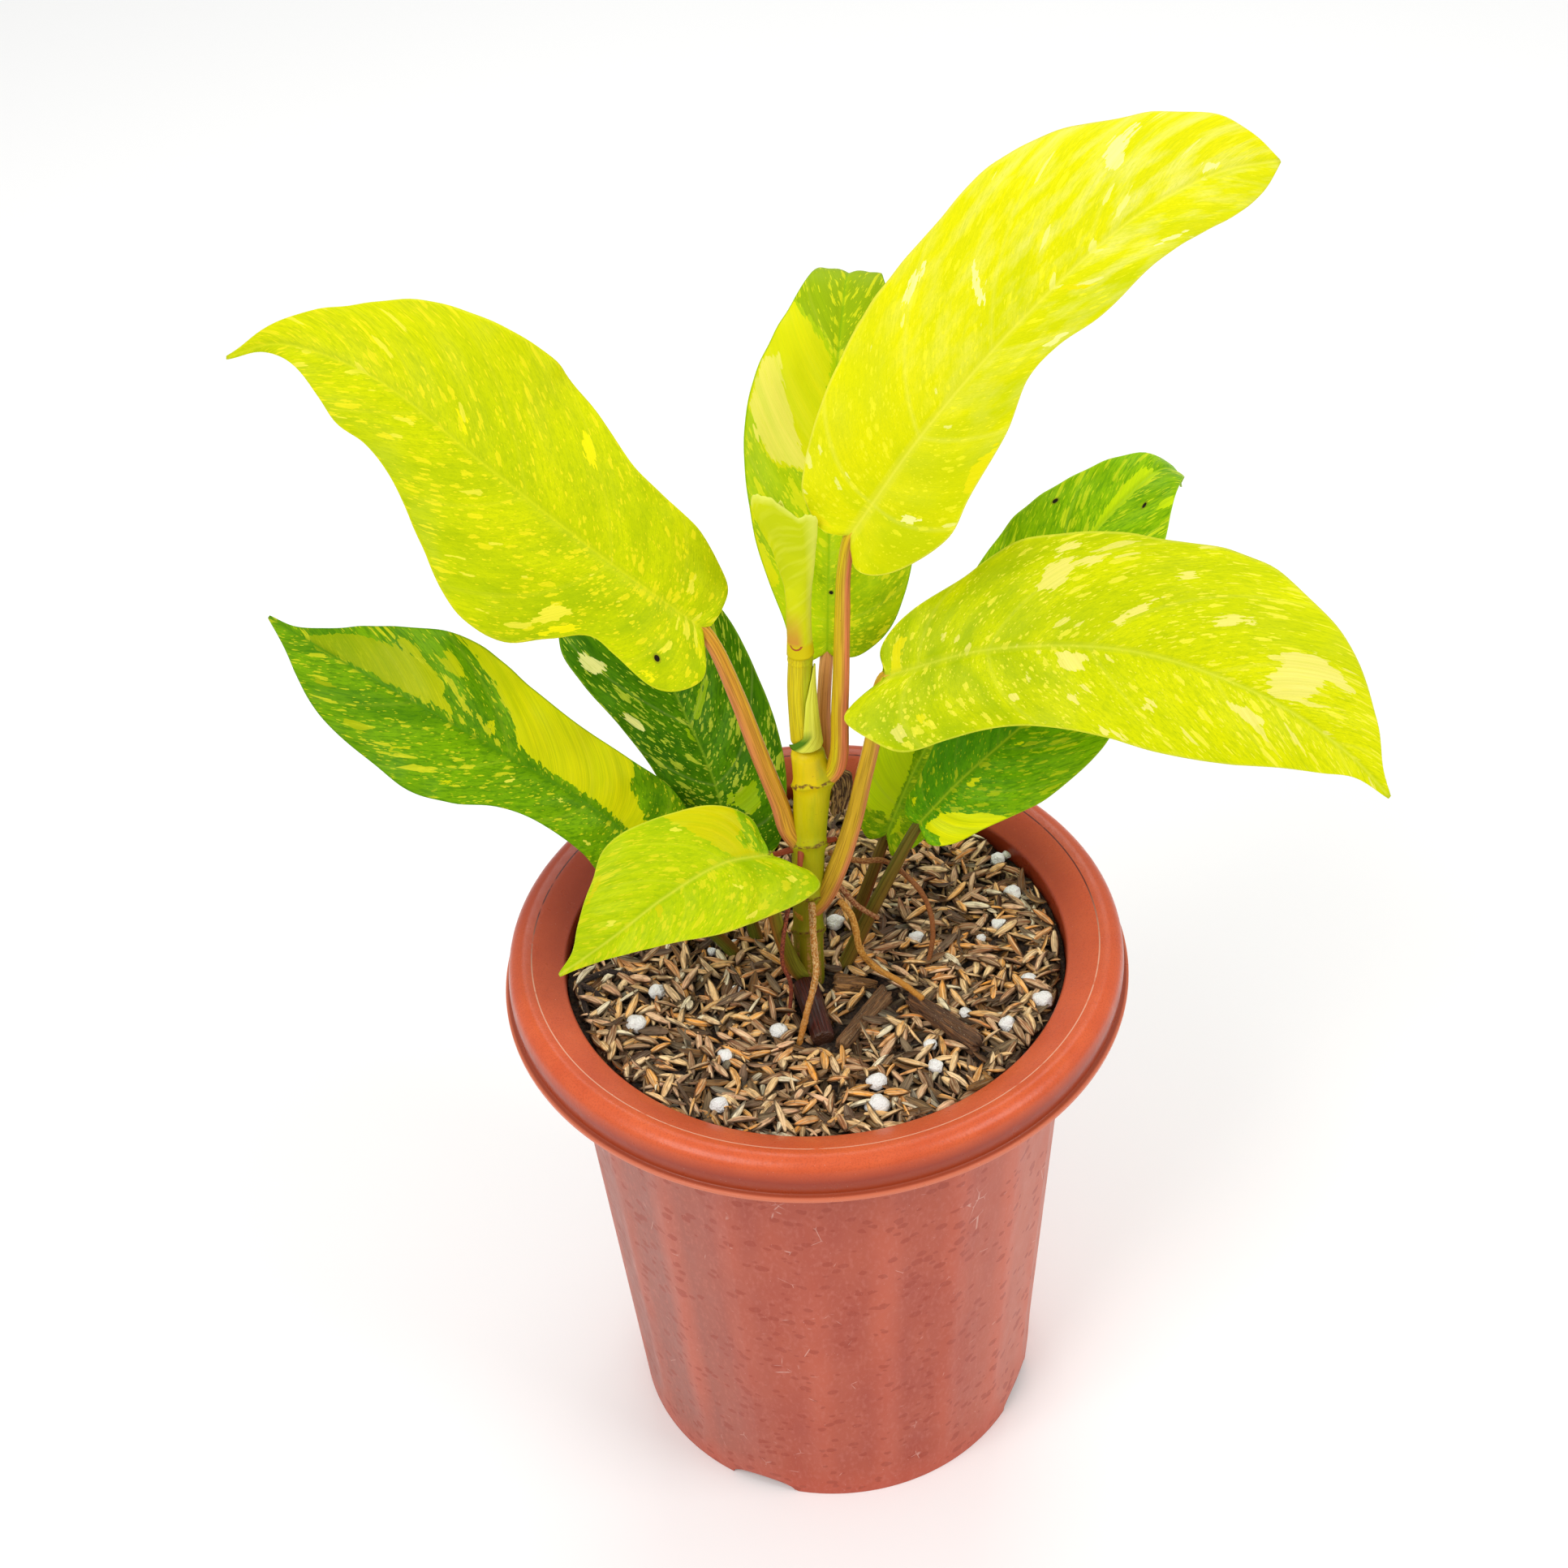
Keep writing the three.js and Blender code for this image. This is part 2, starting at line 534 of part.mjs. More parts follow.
function pot() {
  const floorTop = floorUnderside + floorThickness;
  const lipThickness = 1.2;
  const channelRadius = rimSideRadius - wall + 0.4; // inner side of the rolled rim's hanging wall
  const bodyPoint = (height) => [bodyRadius(height), height];
  const profile = [
    [0, floorUnderside], [footRadius - wall, floorUnderside], [footRadius - wall, 0], [footRadius, 0],
    bodyPoint(fluteFoot[0]), bodyPoint(fluteFoot[1]), bodyPoint(fluteHead[0]), bodyPoint(bodyTopHeight),
    [bodyTopRadius + 0.6, innerEdgeHeight - 2.6], [bodyTopRadius + 2.6, innerEdgeHeight + 0.4],
    [rimTopRadius, rimTop - wall - 0.8],
    [channelRadius, lipHeight - lipThickness / 2],
    [lipRadius, lipHeight - lipThickness / 2], [lipRadius, lipHeight + lipThickness / 2],
    [rimSideRadius - 0.4, lipHeight + 1.6], [rimSideRadius, innerEdgeHeight],
    [rimSideRadius - 0.7, innerEdgeHeight + 3.4], [rimSideRadius - 2.2, rimTop - 0.9],
    [rimTopRadius, rimTop], [rimTopRadius - 3, rimTop - 0.8], [innerEdgeRadius + 4, innerEdgeHeight + 2.6],
    [innerEdgeRadius, innerEdgeHeight], [innerEdgeRadius, 168],
    [innerRadius(floorTop + 1), floorTop + 1], [innerRadius(floorTop) - 1, floorTop], [0, floorTop],
  ];
  let body = toSolid(flute(turned(profile, fluteFirst)));
  const arch = new THREE.Shape();
  arch.moveTo(-notchWidth / 2, -1);
  arch.lineTo(notchWidth / 2, -1);
  arch.absellipse(0, 0, notchWidth / 2, notchHeight, 0, Math.PI, false);
  for (let i = 0; i < notchCount; i += 1) {
    const cutter = new THREE.ExtrudeGeometry(arch, { depth: 12, bevelEnabled: false, curveSegments: 8 });
    cutter.rotateX(Math.PI / 2).translate(0, -footRadius + 6, 0);
    cutter.rotateZ(THREE.MathUtils.degToRad(notchFirst + i * 360 / notchCount));
    body = body.subtract(toSolid(cutter));
  }
  for (let i = 0; i <= drainCount; i += 1) {
    const angle = (i / drainCount) * 2 * Math.PI;
    const reach = i === drainCount ? 0 : drainCircle;
    const hole = new THREE.CylinderGeometry(drainRadius, drainRadius, 6, 12).rotateX(Math.PI / 2);
    hole.translate(reach * Math.cos(angle), reach * Math.sin(angle), floorUnderside + floorThickness / 2);
    body = body.subtract(toSolid(hole));
  }
  return body;
}

// Soil block with rice hulls lying every way on its top, larger than life, in one body.
function soil(standing) {
  const bottom = floorUnderside + floorThickness + gap;
  const outline = (top) => [[0, bottom], [innerRadius(bottom) - 1 - gap, bottom],
    [innerRadius(bottom + 1) - gap, bottom + 1], [innerEdgeRadius - gap, 168],
    [innerEdgeRadius - gap, top], [0, top]];
  const draw = seededDraws(hullSeed);
  const goldenAngle = Math.PI * (3 - Math.sqrt(5));
  const spread = innerEdgeRadius - gap;
  const hulls = [];
  for (let i = 0; i < hullCount; i += 1) {
    const reach = spread * Math.sqrt((i + 0.5) / hullCount);
    const angle = i * goldenAngle + 0.2 * draw();
    const long = hullSize.length * (0.8 + 0.4 * draw());
    const hull = new THREE.OctahedronGeometry(0.5, 0)
      .scale(long, hullSize.width, hullSize.height)
      .rotateX((draw() - 0.5) * 0.8)
      .rotateY((draw() - 0.5) * 0.5)
      .rotateZ(draw() * 2 * Math.PI)
      .translate(reach * Math.cos(angle), reach * Math.sin(angle), soilTop + 0.8 + 1.2 * draw());
    hulls.push(toSolid(hull));
  }
  const room = toSolid(turned(outline(innerEdgeHeight)));
  const heap = wasm.Manifold.union([toSolid(turned(outline(soilTop))), ...hulls]).intersect(room);
  return biggestBody(cutClear(heap, standing).simplify(0.05));
}

// Place on a leaf: share of the rib and signed distance from it, left side positive.
function leafSurface({ rib, face, fold, curl, ripple }) {
  const curve = smooth(rib);
  const length = curve.getLength();
  const faces = face.map(vector);
  const forward = (share) => curve.getTangentAt(THREE.MathUtils.clamp(share, 0, 1));
  const left = (share) => faces[0].clone()
    .lerp(faces[1], THREE.MathUtils.clamp(share, 0, 1)).cross(forward(share)).normalize();
  const up = (share) => forward(share).cross(left(share));
  const at = (share, y) => {
    const held = THREE.MathUtils.clamp(share, 0, 1);
    const place = curve.getPointAt(held).addScaledVector(forward(share), (share - held) * length);
    const wave = Math.sin(2 * Math.PI * (ripple.count * share + ripple.turn * Math.sign(y)));
    const height = fold * Math.abs(y) - curl * y * y / crownWidth
      + ripple.height * wave * (y / crownWidth) ** 2;
    return place.addScaledVector(left(share), y).addScaledVector(up(share), height);
  };
  return { at, up, forward, length };
}

// The blade's rows run from the rib out to the margin and sweep towards the tip.
function blade(leaf) {
  const { at, length } = leafSurface(leaf);
  const tip = [1, 0.5];
  const margins = { 1: leaf.left, [-1]: leaf.right };
  const curves = {};
  for (const side of [1, -1]) {
    const points = [...margins[side], tip];
    curves[side] = smooth(points.map(([share, y]) => [share * length, y, 0]));
  }
  const half = acrossShares.length - 1;
  const pointAt = (i, j) => {
    const side = j < half ? -1 : 1;
    const across = acrossShares[Math.abs(j - half)];
    const t = (i / bladeRows) ** rowCrowding;
    const margin = curves[side].getPointAt(t);
    const ribShare = t ** rowFan;
    const share = THREE.MathUtils.lerp(ribShare, margin.x / length, across);
    return at(share, side * margin.y * across);
  };
  const keelDepth = (i, j) => {
    const thickness = THREE.MathUtils.lerp(keel.base, keel.tip, i / bladeRows);
    return j === half ? thickness : 0;
  };
  return toSolid(sheet(bladeRows, 2 * half, pointAt, bladeThickness, keelDepth));
}

// A petiole ends just behind the start of its blade, under the midrib.
function petiole(leaf, grow = 0) {
  const { path, radii } = leaf.petiole;
  const { at, up, forward } = leafSurface(leaf);
  const end = at(0, 0).addScaledVector(up(0), -radii.at(-1)).addScaledVector(forward(0), -gap);
  return rod([...path, end.toArray()], (share) => along(radii, share), { grow });
}

function stem(grow = 0) {
  const curve = smooth(stemPath);
  const radiusAt = (share) => {
    const { z } = curve.getPointAt(share);
    const swell = nodeHeights.reduce(
      (sum, height) => sum + nodeSwell * Math.exp(-(((z - height) / 1.8) ** 2)), 0);
    return along(stemRadii, share) + swell;
  };
  const trunk = rod(stemPath, radiusAt, { sides: 10, steps: 20, grow });
  const pegRods = pegs.map((ends) => rod(ends, (share) => 1.1 - 0.3 * share, { sides: 6, steps: 2, grow }));
  return wasm.Manifold.union([trunk, ...pegRods]);
}

// The leaf still rolled up: a sheet wound a little more than once round, wider towards its open top.
function spearBlade() {
  const { radii, turns, firstTurn, layerStep, flatness, lipLift, lipSide, thickness } = spear;
  const axis = smooth(spear.axis);
  const rows = 6;
  const columns = 13;
  const pointAt = (i, j) => {
    const share = i / rows;
    const wound = (j / columns) * turns;
    const angle = 2 * Math.PI * (wound + firstTurn);
    const centre = axis.getPointAt(share);
    const radius = along(radii, share) - layerStep * (turns - wound);
    const lift = lipLift * share ** 3 * Math.cos(angle - lipSide);
    return new THREE.Vector3(centre.x + radius * Math.cos(angle),
      centre.y + flatness * radius * Math.sin(angle), centre.z + lift);
  };
  return toSolid(sheet(rows, columns, pointAt, thickness));
}

// Pale sheath wrapped round the right of the new leaf's petiole, narrowing to a point upward.
function sheath() {
  const { foot, top, side, reach, thickness } = sheathWrap;
  const axis = smooth(spearPetiolePath);
  const rows = 5;
  const columns = 8;
  const pointAt = (i, j) => {
    const share = 0.02 + reach * (i / rows);
    const centre = axis.getPointAt(share);
    const halfWrap = THREE.MathUtils.lerp(foot, top, (i / rows) ** 1.3);
    const angle = side + halfWrap * (2 * j / columns - 1);
    const radius = along(spearPetioleRadii, share) + gap + 0.45;
    return new THREE.Vector3(
      centre.x + radius * Math.cos(angle), centre.y + radius * Math.sin(angle), centre.z);
  };
  return toSolid(sheet(rows, columns, pointAt, thickness));
}

// Dry pleated bract hanging from the upper node, behind the right petiole.
function bract() {
  const spine = smooth([[7.4, -3.4, 246.2], [9.6, -2.4, 241], [9.4, -1.4, 235], [8.4, -1, 229.4]]);
  const rows = 5;
  const columns = 6;
  const pointAt = (i, j) => {
    const share = i / rows;
    const centre = spine.getPointAt(share);
    const half = 1.6 + 2.2 * Math.sin(Math.PI * (0.15 + 0.75 * share));
    const across = 2 * j / columns - 1;
    const pleat = 0.7 * (j % 2) * share;
    return new THREE.Vector3(centre.x + half * across * 0.75 + pleat * 0.5,
      centre.y + half * across * 0.6 - pleat, centre.z);
  };
  return toSolid(sheet(rows, columns, pointAt, 0.7));
}

// Flat weathered chip: its outline raised to the top, which is drawn in a little.
function bark({ corners, top }, grow = 0) {
  const outline = corners.map(([x, y]) => new THREE.Vector3(x, y, 0));
  const centre = new THREE.Vector3();
  outline.forEach((corner) => centre.addScaledVector(corner, 1 / outline.length));
  const level = (height, scale) => outline.map((corner) => {
    const out = corner.clone().sub(centre);
    out.setLength(out.length() * scale + grow);
    return out.add(centre).setZ(height);
  });
  return toSolid(skin([level(barkUnderside - grow, 0.96), level(top - 0.8, 1), level(top + grow, 0.9)]));
}

function twig(grow = 0) {
  const radiusAt = (share) => twigRadius * (1.1 - 0.35 * share);
  return wasm.Manifold.union(twigArms.map((path) => rod(path, radiusAt, { sides: 5, steps: 4, grow })));
}

function grain([x, y, radius], number, grow = 0) {
  const geometry = new THREE.DodecahedronGeometry(radius, 0);
  const position = geometry.attributes.position;
  const point = new THREE.Vector3();
  for (let i = 0; i < position.count; i += 1) {
    point.fromBufferAttribute(position, i);
    const lump = 1 + 0.09 * Math.sin(2.1 * point.x + number) + 0.08 * Math.sin(2.7 * point.y - 2 * number);
    point.multiplyScalar(lump * (1 + grow / radius));
    position.setXYZ(i, point.x * 1.08, point.y, point.z * 0.85);
  }
  const turn = 1.3 * number;
  return toSolid(geometry.rotateZ(turn).translate(x, y, soilTop + 0.45 * radius));
}

const plant = new THREE.Group();

function add(name, solid, colour, { roughness = 0.5, smoothShaded = true } = {}) {
  const material = new THREE.MeshStandardMaterial({
    color: colour, roughness, metalness: 0, flatShading: !smoothShaded, side: THREE.DoubleSide,
  });
  const mesh = new THREE.Mesh(toGeometry(solid), material);
  mesh.name = name;
  plant.add(mesh);
}

const stemRoom = stem(gap);
const petioleRooms = leaves.map((leaf) => petiole(leaf, gap));
const rootRod = ({ path, radius }, grow = 0) => rod(path, () => radius, { sides: 6, steps: 10, grow });
const rootRooms = aerialRoots.map((root) => rootRod(root, gap));
const stubRod = (grow = 0) => rod(stubPath, () => stubRadius, { sides: 10, steps: 4, grow });
const barkRooms = barkPieces.map((piece) => bark(piece, gap));
const grainRooms = perliteGrains.map((place, number) => grain(place, number, gap));

add('pot', pot(), colours.pot, { roughness: 0.45 });
add('soil',
  soil([stemRoom, ...petioleRooms, ...rootRooms, stubRod(gap), ...barkRooms, twig(gap), ...grainRooms]),
  colours.soil, { roughness: 0.9, smoothShaded: false });
add('stem', stem(), colours.stem);

leaves.forEach((leaf, i) => {
  add(`petiole_${leaf.name}`, cutClear(petiole(leaf), [stemRoom]), leaf.petiole.colour);
  add(`leaf_${leaf.name}`, cutClear(blade(leaf), [petioleRooms[i]]), leaf.colour, { roughness: 0.4 });
});

const roomOf = (leafName) => petioleRooms[leaves.findIndex(({ name }) => name === leafName)];
add('new_leaf_petiole', rod(spearPetiolePath, (share) => along(spearPetioleRadii, share), { steps: 6 }),
  colours.stem);
add('new_leaf_sheath', cutClear(sheath(), [stemRoom, roomOf('top_right')]), colours.sheath);
add('new_leaf_spear', spearBlade(), colours.spear, { roughness: 0.4 });
add('dry_bract', cutClear(bract(), [stemRoom, roomOf('top_right'), roomOf('right')]), colours.bract,
  { roughness: 0.9 });
add('old_stem_stub', cutClear(stubRod(), [stemRoom, roomOf('small_front')]), colours.stub);

aerialRoots.forEach((root) => {
  add(`root_${root.name}`, cutClear(rootRod(root), [stemRoom, ...petioleRooms]), root.colour);
});
barkPieces.forEach((piece) => {
  add(`bark_${piece.name}`, cutClear(bark(piece), [stemRoom, ...petioleRooms, ...rootRooms, stubRod(gap)]),
    colours.bark, { roughness: 0.9, smoothShaded: false });
});
add('black_twig', twig(), colours.twig, { roughness: 0.8 });
perliteGrains.forEach((place, number) => {
  add(`perlite_${number + 1}`, grain(place, number), colours.perlite, { roughness: 0.9 });
});

export default plant;
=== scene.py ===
import math
import bpy
import numpy as np
from mathutils import Matrix


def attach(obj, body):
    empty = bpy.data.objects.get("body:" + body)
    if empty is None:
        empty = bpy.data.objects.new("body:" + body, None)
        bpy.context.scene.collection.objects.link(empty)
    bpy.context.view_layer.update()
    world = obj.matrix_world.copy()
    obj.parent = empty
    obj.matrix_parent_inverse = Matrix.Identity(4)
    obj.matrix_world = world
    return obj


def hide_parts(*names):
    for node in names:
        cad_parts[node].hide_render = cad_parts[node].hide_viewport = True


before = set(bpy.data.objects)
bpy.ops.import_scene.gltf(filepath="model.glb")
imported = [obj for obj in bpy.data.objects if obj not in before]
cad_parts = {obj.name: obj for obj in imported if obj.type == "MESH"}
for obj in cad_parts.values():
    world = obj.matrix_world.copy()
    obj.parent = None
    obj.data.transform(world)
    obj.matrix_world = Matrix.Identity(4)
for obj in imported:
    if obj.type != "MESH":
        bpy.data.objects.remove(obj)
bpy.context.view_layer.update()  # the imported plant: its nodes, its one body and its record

mm = 0.001  # every size below is in millimetres, and meshes are made in metres

# Camera and light

cameraSet = {
    "place": (0, -545.95, 702.01),
    "yaw": -0.011, "pitch": 0.703, "roll": 0.062,  # radians: to the left, down, clockwise
    "focalPixels": 3232.3, "framePixels": 1932, "sensor": 36, "clip": (0.01, 100),
}
lightSet = {
    "sky": "#ffffff", "skyStrength": 0.6,
    "aim": (0, 0, 200.0), "panels": [  # centre, size, watts
        ((-900, -900, 1500), 900, 15),
        ((1100, -500, 1300), 700, 8),
        ((100, 900, 1600), 900, 8),
    ],
    "floorColour": "#fbfbfa", "floorSize": 9000,
}


def linear(hexColour):
    # sRGB value v to linear: v / 12.92 below 0.04045, else ((v + 0.055) / 1.055) ^ 2.4
    value = np.array([int(hexColour[i:i + 2], 16) for i in (1, 3, 5)]) / 255
    value = np.where(value <= 0.04045, value / 12.92, ((value + 0.055) / 1.055) ** 2.4)
    return (*value.tolist(), 1.0)


def addNode(tree, kind, inputs=None, **settings):
    # an input takes a value, a hex colour, a socket or a node, which stands for its first output
    node = tree.nodes.new("ShaderNode" + kind)
    for name, value in settings.items():
        setattr(node, name, value)
    for name, value in (inputs or {}).items():
        if isinstance(value, bpy.types.Node):
            value = value.outputs[0]
        if isinstance(value, bpy.types.NodeSocket):
            tree.links.new(value, node.inputs[name])
        else:
            node.inputs[name].default_value = linear(value) if isinstance(value, str) else value
    return node


def newFinish(name, roughness, follows, **fixed):
    # a material, its nodes, its Principled shader with the values that stay fixed, and the place that its
    # patterns follow: an attribute of the piece, or the place on the plant where follows is "body"
    material = bpy.data.materials.new(name)
    material.use_nodes = True
    tree = material.node_tree
    shader = tree.nodes["Principled BSDF"]
    shader.inputs["Roughness"].default_value = roughness
    for socket, value in fixed.items():
        shader.inputs[socket.replace("_", " ")].default_value = value
    if follows == "body":
        return material, tree, shader, bodyPlace(tree)
    return material, tree, shader, addNode(tree, "Attribute", attribute_name=follows).outputs["Vector"]


def bodyPlace(tree):
    # place on the plant in millimetres from the middle of the pot's foot
    spot = addNode(tree, "TexCoord").outputs["Object"]
    return addNode(tree, "VectorMath", {0: spot, "Scale": 1 / mm}, operation="SCALE")


def streaks(tree, place, sizes, low, high, strength=1.0, detail=2.0, shift=0.0):
    # a cloud whose blots measure sizes in mm along each axis, cut between two levels
    spread = addNode(tree, "Mapping", {"Vector": place, "Location": (shift, shift, shift),
                                       "Scale": tuple(1 / size for size in sizes)})
    cloud = addNode(tree, "TexNoise", {"Vector": spread, "Scale": 1.0, "Detail": detail})
    return addNode(tree, "MapRange", {"Value": cloud, "From Min": low, "From Max": high, "To Max": strength})


def paint(tree, colour, *layers):
    # each layer is a colour and the mask that lets it show
    for tint, mask in layers:
        colour = addNode(tree, "Mix", {0: mask, 6: colour, 7: tint}, data_type="RGBA").outputs[2]
    return colour


def dress(tree, shader, colour, relief, strength, depth, coarser=None):
    # the colour of a surface and its relief, up to depth metres high, over a coarser relief if it has one
    tree.links.new(colour, shader.inputs["Base Color"])
    bump = addNode(tree, "Bump", {"Height": relief, "Strength": strength, "Distance": depth})
    if coarser is not None:
        tree.links.new(coarser.outputs[0], bump.inputs["Normal"])
    tree.links.new(bump.outputs[0], shader.inputs["Normal"])


def setTones(tones, stops):
    # gives a colour ramp node its places and colours
    elements = tones.color_ramp.elements
    while len(elements) < len(stops):
        elements.new(1.0)
    for element, (spot, tint) in zip(elements, stops):
        element.position = spot
        element.color = linear(tint)


def turnAxes(yaw, pitch, roll):
    # view direction from yaw and pitch, then right and down turned about it by the roll
    forward = np.array([math.sin(yaw) * math.cos(pitch), math.cos(yaw) * math.cos(pitch), -math.sin(pitch)])
    level = np.array([math.cos(yaw), -math.sin(yaw), 0])
    steep = np.cross(forward, level)
    right = math.cos(roll) * level + math.sin(roll) * steep
    down = -math.sin(roll) * level + math.cos(roll) * steep
    return right, down, forward


def placing(side, up, back, place):
    # matrix whose columns are the three axes and the place
    return Matrix([[*axes, spot] for *axes, spot in zip(side, up, back, place)] + [[0, 0, 0, 1]])


def placeCamera():
    right, down, forward = turnAxes(cameraSet["yaw"], cameraSet["pitch"], cameraSet["roll"])
    lens = bpy.data.cameras.new("photo_camera")
    lens.sensor_fit = "HORIZONTAL"
    lens.sensor_width = cameraSet["sensor"]
    lens.lens = cameraSet["focalPixels"] / cameraSet["framePixels"] * cameraSet["sensor"]
    lens.clip_start, lens.clip_end = cameraSet["clip"]
    camera = bpy.data.objects.new("photo_camera", lens)
    place = np.array(cameraSet["place"]) * mm
    camera.matrix_world = placing(right, -down, -forward, place)
    bpy.context.collection.objects.link(camera)
    bpy.context.scene.camera = camera


def placeLight():
    world = bpy.data.worlds.new("studio")
    world.use_nodes = True
    sky = world.node_tree.nodes["Background"]
    sky.inputs["Color"].default_value = linear(lightSet["sky"])
    sky.inputs["Strength"].default_value = lightSet["skyStrength"]
    bpy.context.scene.world = world
    for number, (centre, size, watts) in enumerate(lightSet["panels"]):
        panel = bpy.data.lights.new(f"softbox_{number}", "AREA")
        panel.shape = "SQUARE"
        panel.size = size * mm
        panel.energy = watts
        lamp = bpy.data.objects.new(f"softbox_{number}", panel)
        back = unit(np.array(centre, float) - lightSet["aim"])
        side = unit(np.cross((0, 0, 1), back))
        rise = np.cross(back, side)
        lamp.matrix_world = placing(side, rise, back, np.array(centre) * mm)
        bpy.context.collection.objects.link(lamp)


def placeFloor():
    half = lightSet["floorSize"] / 2
    corners = np.array([[-half, -half, 0], [half, -half, 0], [half, half, 0], [-half, half, 0]])
    mesh = bpy.data.meshes.new("studio_floor")
    mesh.from_pydata((corners * mm).tolist(), [], [[0, 1, 2, 3]])
    # matt seamless paper: pale and even, so that only a soft contact shadow shows
    paper = bpy.data.materials.new("matt_backdrop_paper")
    paper.use_nodes = True
    shader = paper.node_tree.nodes["Principled BSDF"]
    shader.inputs["Roughness"].default_value = 0.9
    shader.inputs["Base Color"].default_value = linear(lightSet["floorColour"])
    mesh.materials.append(paper)
    floor = bpy.data.objects.new("studio_floor", mesh)
    bpy.context.collection.objects.link(floor)


# Shapes shared by the pieces

def unit(vectors):
    return vectors / np.linalg.norm(vectors, axis=-1, keepdims=True)


def ramp(value, low, high):
    # 0 below low, 1 above high, eased as 3 s^2 - 2 s^3 between
    share = np.clip((value - low) / (high - low), 0, 1)
    return share * share * (3 - 2 * share)


def softNoise(points, size, seed, terms=14):
    # sum of sines of random direction with wavelengths near size, about -1 to 1
    draw = np.random.default_rng(seed)
    points = np.asarray(points, float)
    waves = unit(draw.normal(size=(terms, points.shape[-1])))
    waves *= (2 * math.pi / size * draw.uniform(0.6, 1.6, terms))[:, None]
    return np.sin(points @ waves.T + draw.uniform(0, 2 * math.pi, terms)).sum(-1) / math.sqrt(terms * 1.6)


def smoothCurve(knots, perSpan=80):
    # centripetal Catmull-Rom: each span is the cubic whose end slopes weigh the chords by their square roots
    knots = np.array(knots, float)
    spread = np.vstack([2 * knots[0] - knots[1], knots, 2 * knots[-1] - knots[-2]])
    chord = np.sqrt(np.linalg.norm(np.diff(spread, axis=0), axis=1))[:, None]
    a, b, c, d = spread[:-3], spread[1:-2], spread[2:-1], spread[3:]
    before, here, after = chord[:-2], chord[1:-1], chord[2:]
    slopeB = here * ((b - a) / before - (c - a) / (before + here) + (c - b) / here)
    slopeC = here * ((c - b) / here - (d - b) / (here + after) + (d - c) / after)
    t = np.linspace(0, 1, perSpan, endpoint=False)[None, :, None]
    b, c, slopeB, slopeC = (part[:, None] for part in (b, c, slopeB, slopeC))
    spans = b + slopeB * t + (3 * (c - b) - 2 * slopeB - slopeC) * t ** 2
    spans = spans + (2 * (b - c) + slopeB + slopeC) * t ** 3
    dense = np.vstack([spans.reshape(-1, knots.shape[1]), knots[-1:]])
    length = np.concatenate([[0], np.cumsum(np.linalg.norm(np.diff(dense, axis=0), axis=1))])
    return dense, length


def onCurve(curve, share):
    dense, length = curve
    return np.stack([np.interp(share * length[-1], length, part) for part in dense.T], -1)


def slopeOf(curve, share, step=0.004):
    return unit(onCurve(curve, np.clip(share + step, 0, 1)) - onCurve(curve, np.clip(share - step, 0, 1)))


def between(values, share):
    # straight between the entries of an evenly spaced list
    return np.interp(share, np.linspace(0, 1, len(values)), values)


def gridFaces(rows, columns, ring=False):
    # quads of a grid of rows x columns points, whose last column joins the first on a ring
    across = columns if ring else columns - 1
    i, j = np.meshgrid(np.arange(rows - 1), np.arange(across), indexing="ij")
    after = (j + 1) % columns
    here, below = i * columns, (i + 1) * columns
    return np.stack([here + j, here + after, below + after, below + j], -1).reshape(-1, 4)


def closedRings(points):
    # rings (n, m, 3) joined into a skin, each end closed by a fan round its middle
    rows, columns, _ = points.shape
    vertices = np.vstack([points.reshape(-1, 3), points[0].mean(0), points[-1].mean(0)])
    j = np.arange(columns)
    after = (j + 1) % columns
    first = np.stack([after, j, np.full(columns, rows * columns)], -1)
    base = (rows - 1) * columns
    last = np.stack([base + j, base + after, np.full(columns, rows * columns + 1)], -1)
    return vertices, [gridFaces(rows, columns, ring=True), first, last]


def closedSheet(upper, lower):
    # two faces (n, m, 3) of a thin sheet, joined along their four edges
    rows, columns, _ = upper.shape
    loop = np.concatenate([upper, lower[:, ::-1]], 1)
    wide = 2 * columns
    j = np.arange(columns - 1)
    strip = np.stack([j, wide - 1 - j, wide - 2 - j, j + 1], -1)
    ends = [strip, strip[:, ::-1] + (rows - 1) * wide]
    return loop.reshape(-1, 3), [gridFaces(rows, wide, ring=True), *ends]


def sheetAttribute(values):
    # an attribute for closedSheet: the grid's values on one face, then back along the other
    return np.concatenate([values, values[:, ::-1]], 1).reshape(-1, *values.shape[2:])


def joined(skins):
    # several closed skins as one: the faces of each count on from the vertices before it
    starts = np.cumsum([0] + [len(vertices) for vertices, _ in skins])
    faces = [part + start for (_, parts), start in zip(skins, starts) for part in parts]
    return np.vstack([vertices for vertices, _ in skins]), faces


def gridNormals(points):
    return unit(np.cross(np.gradient(points, axis=0), np.gradient(points, axis=1)))


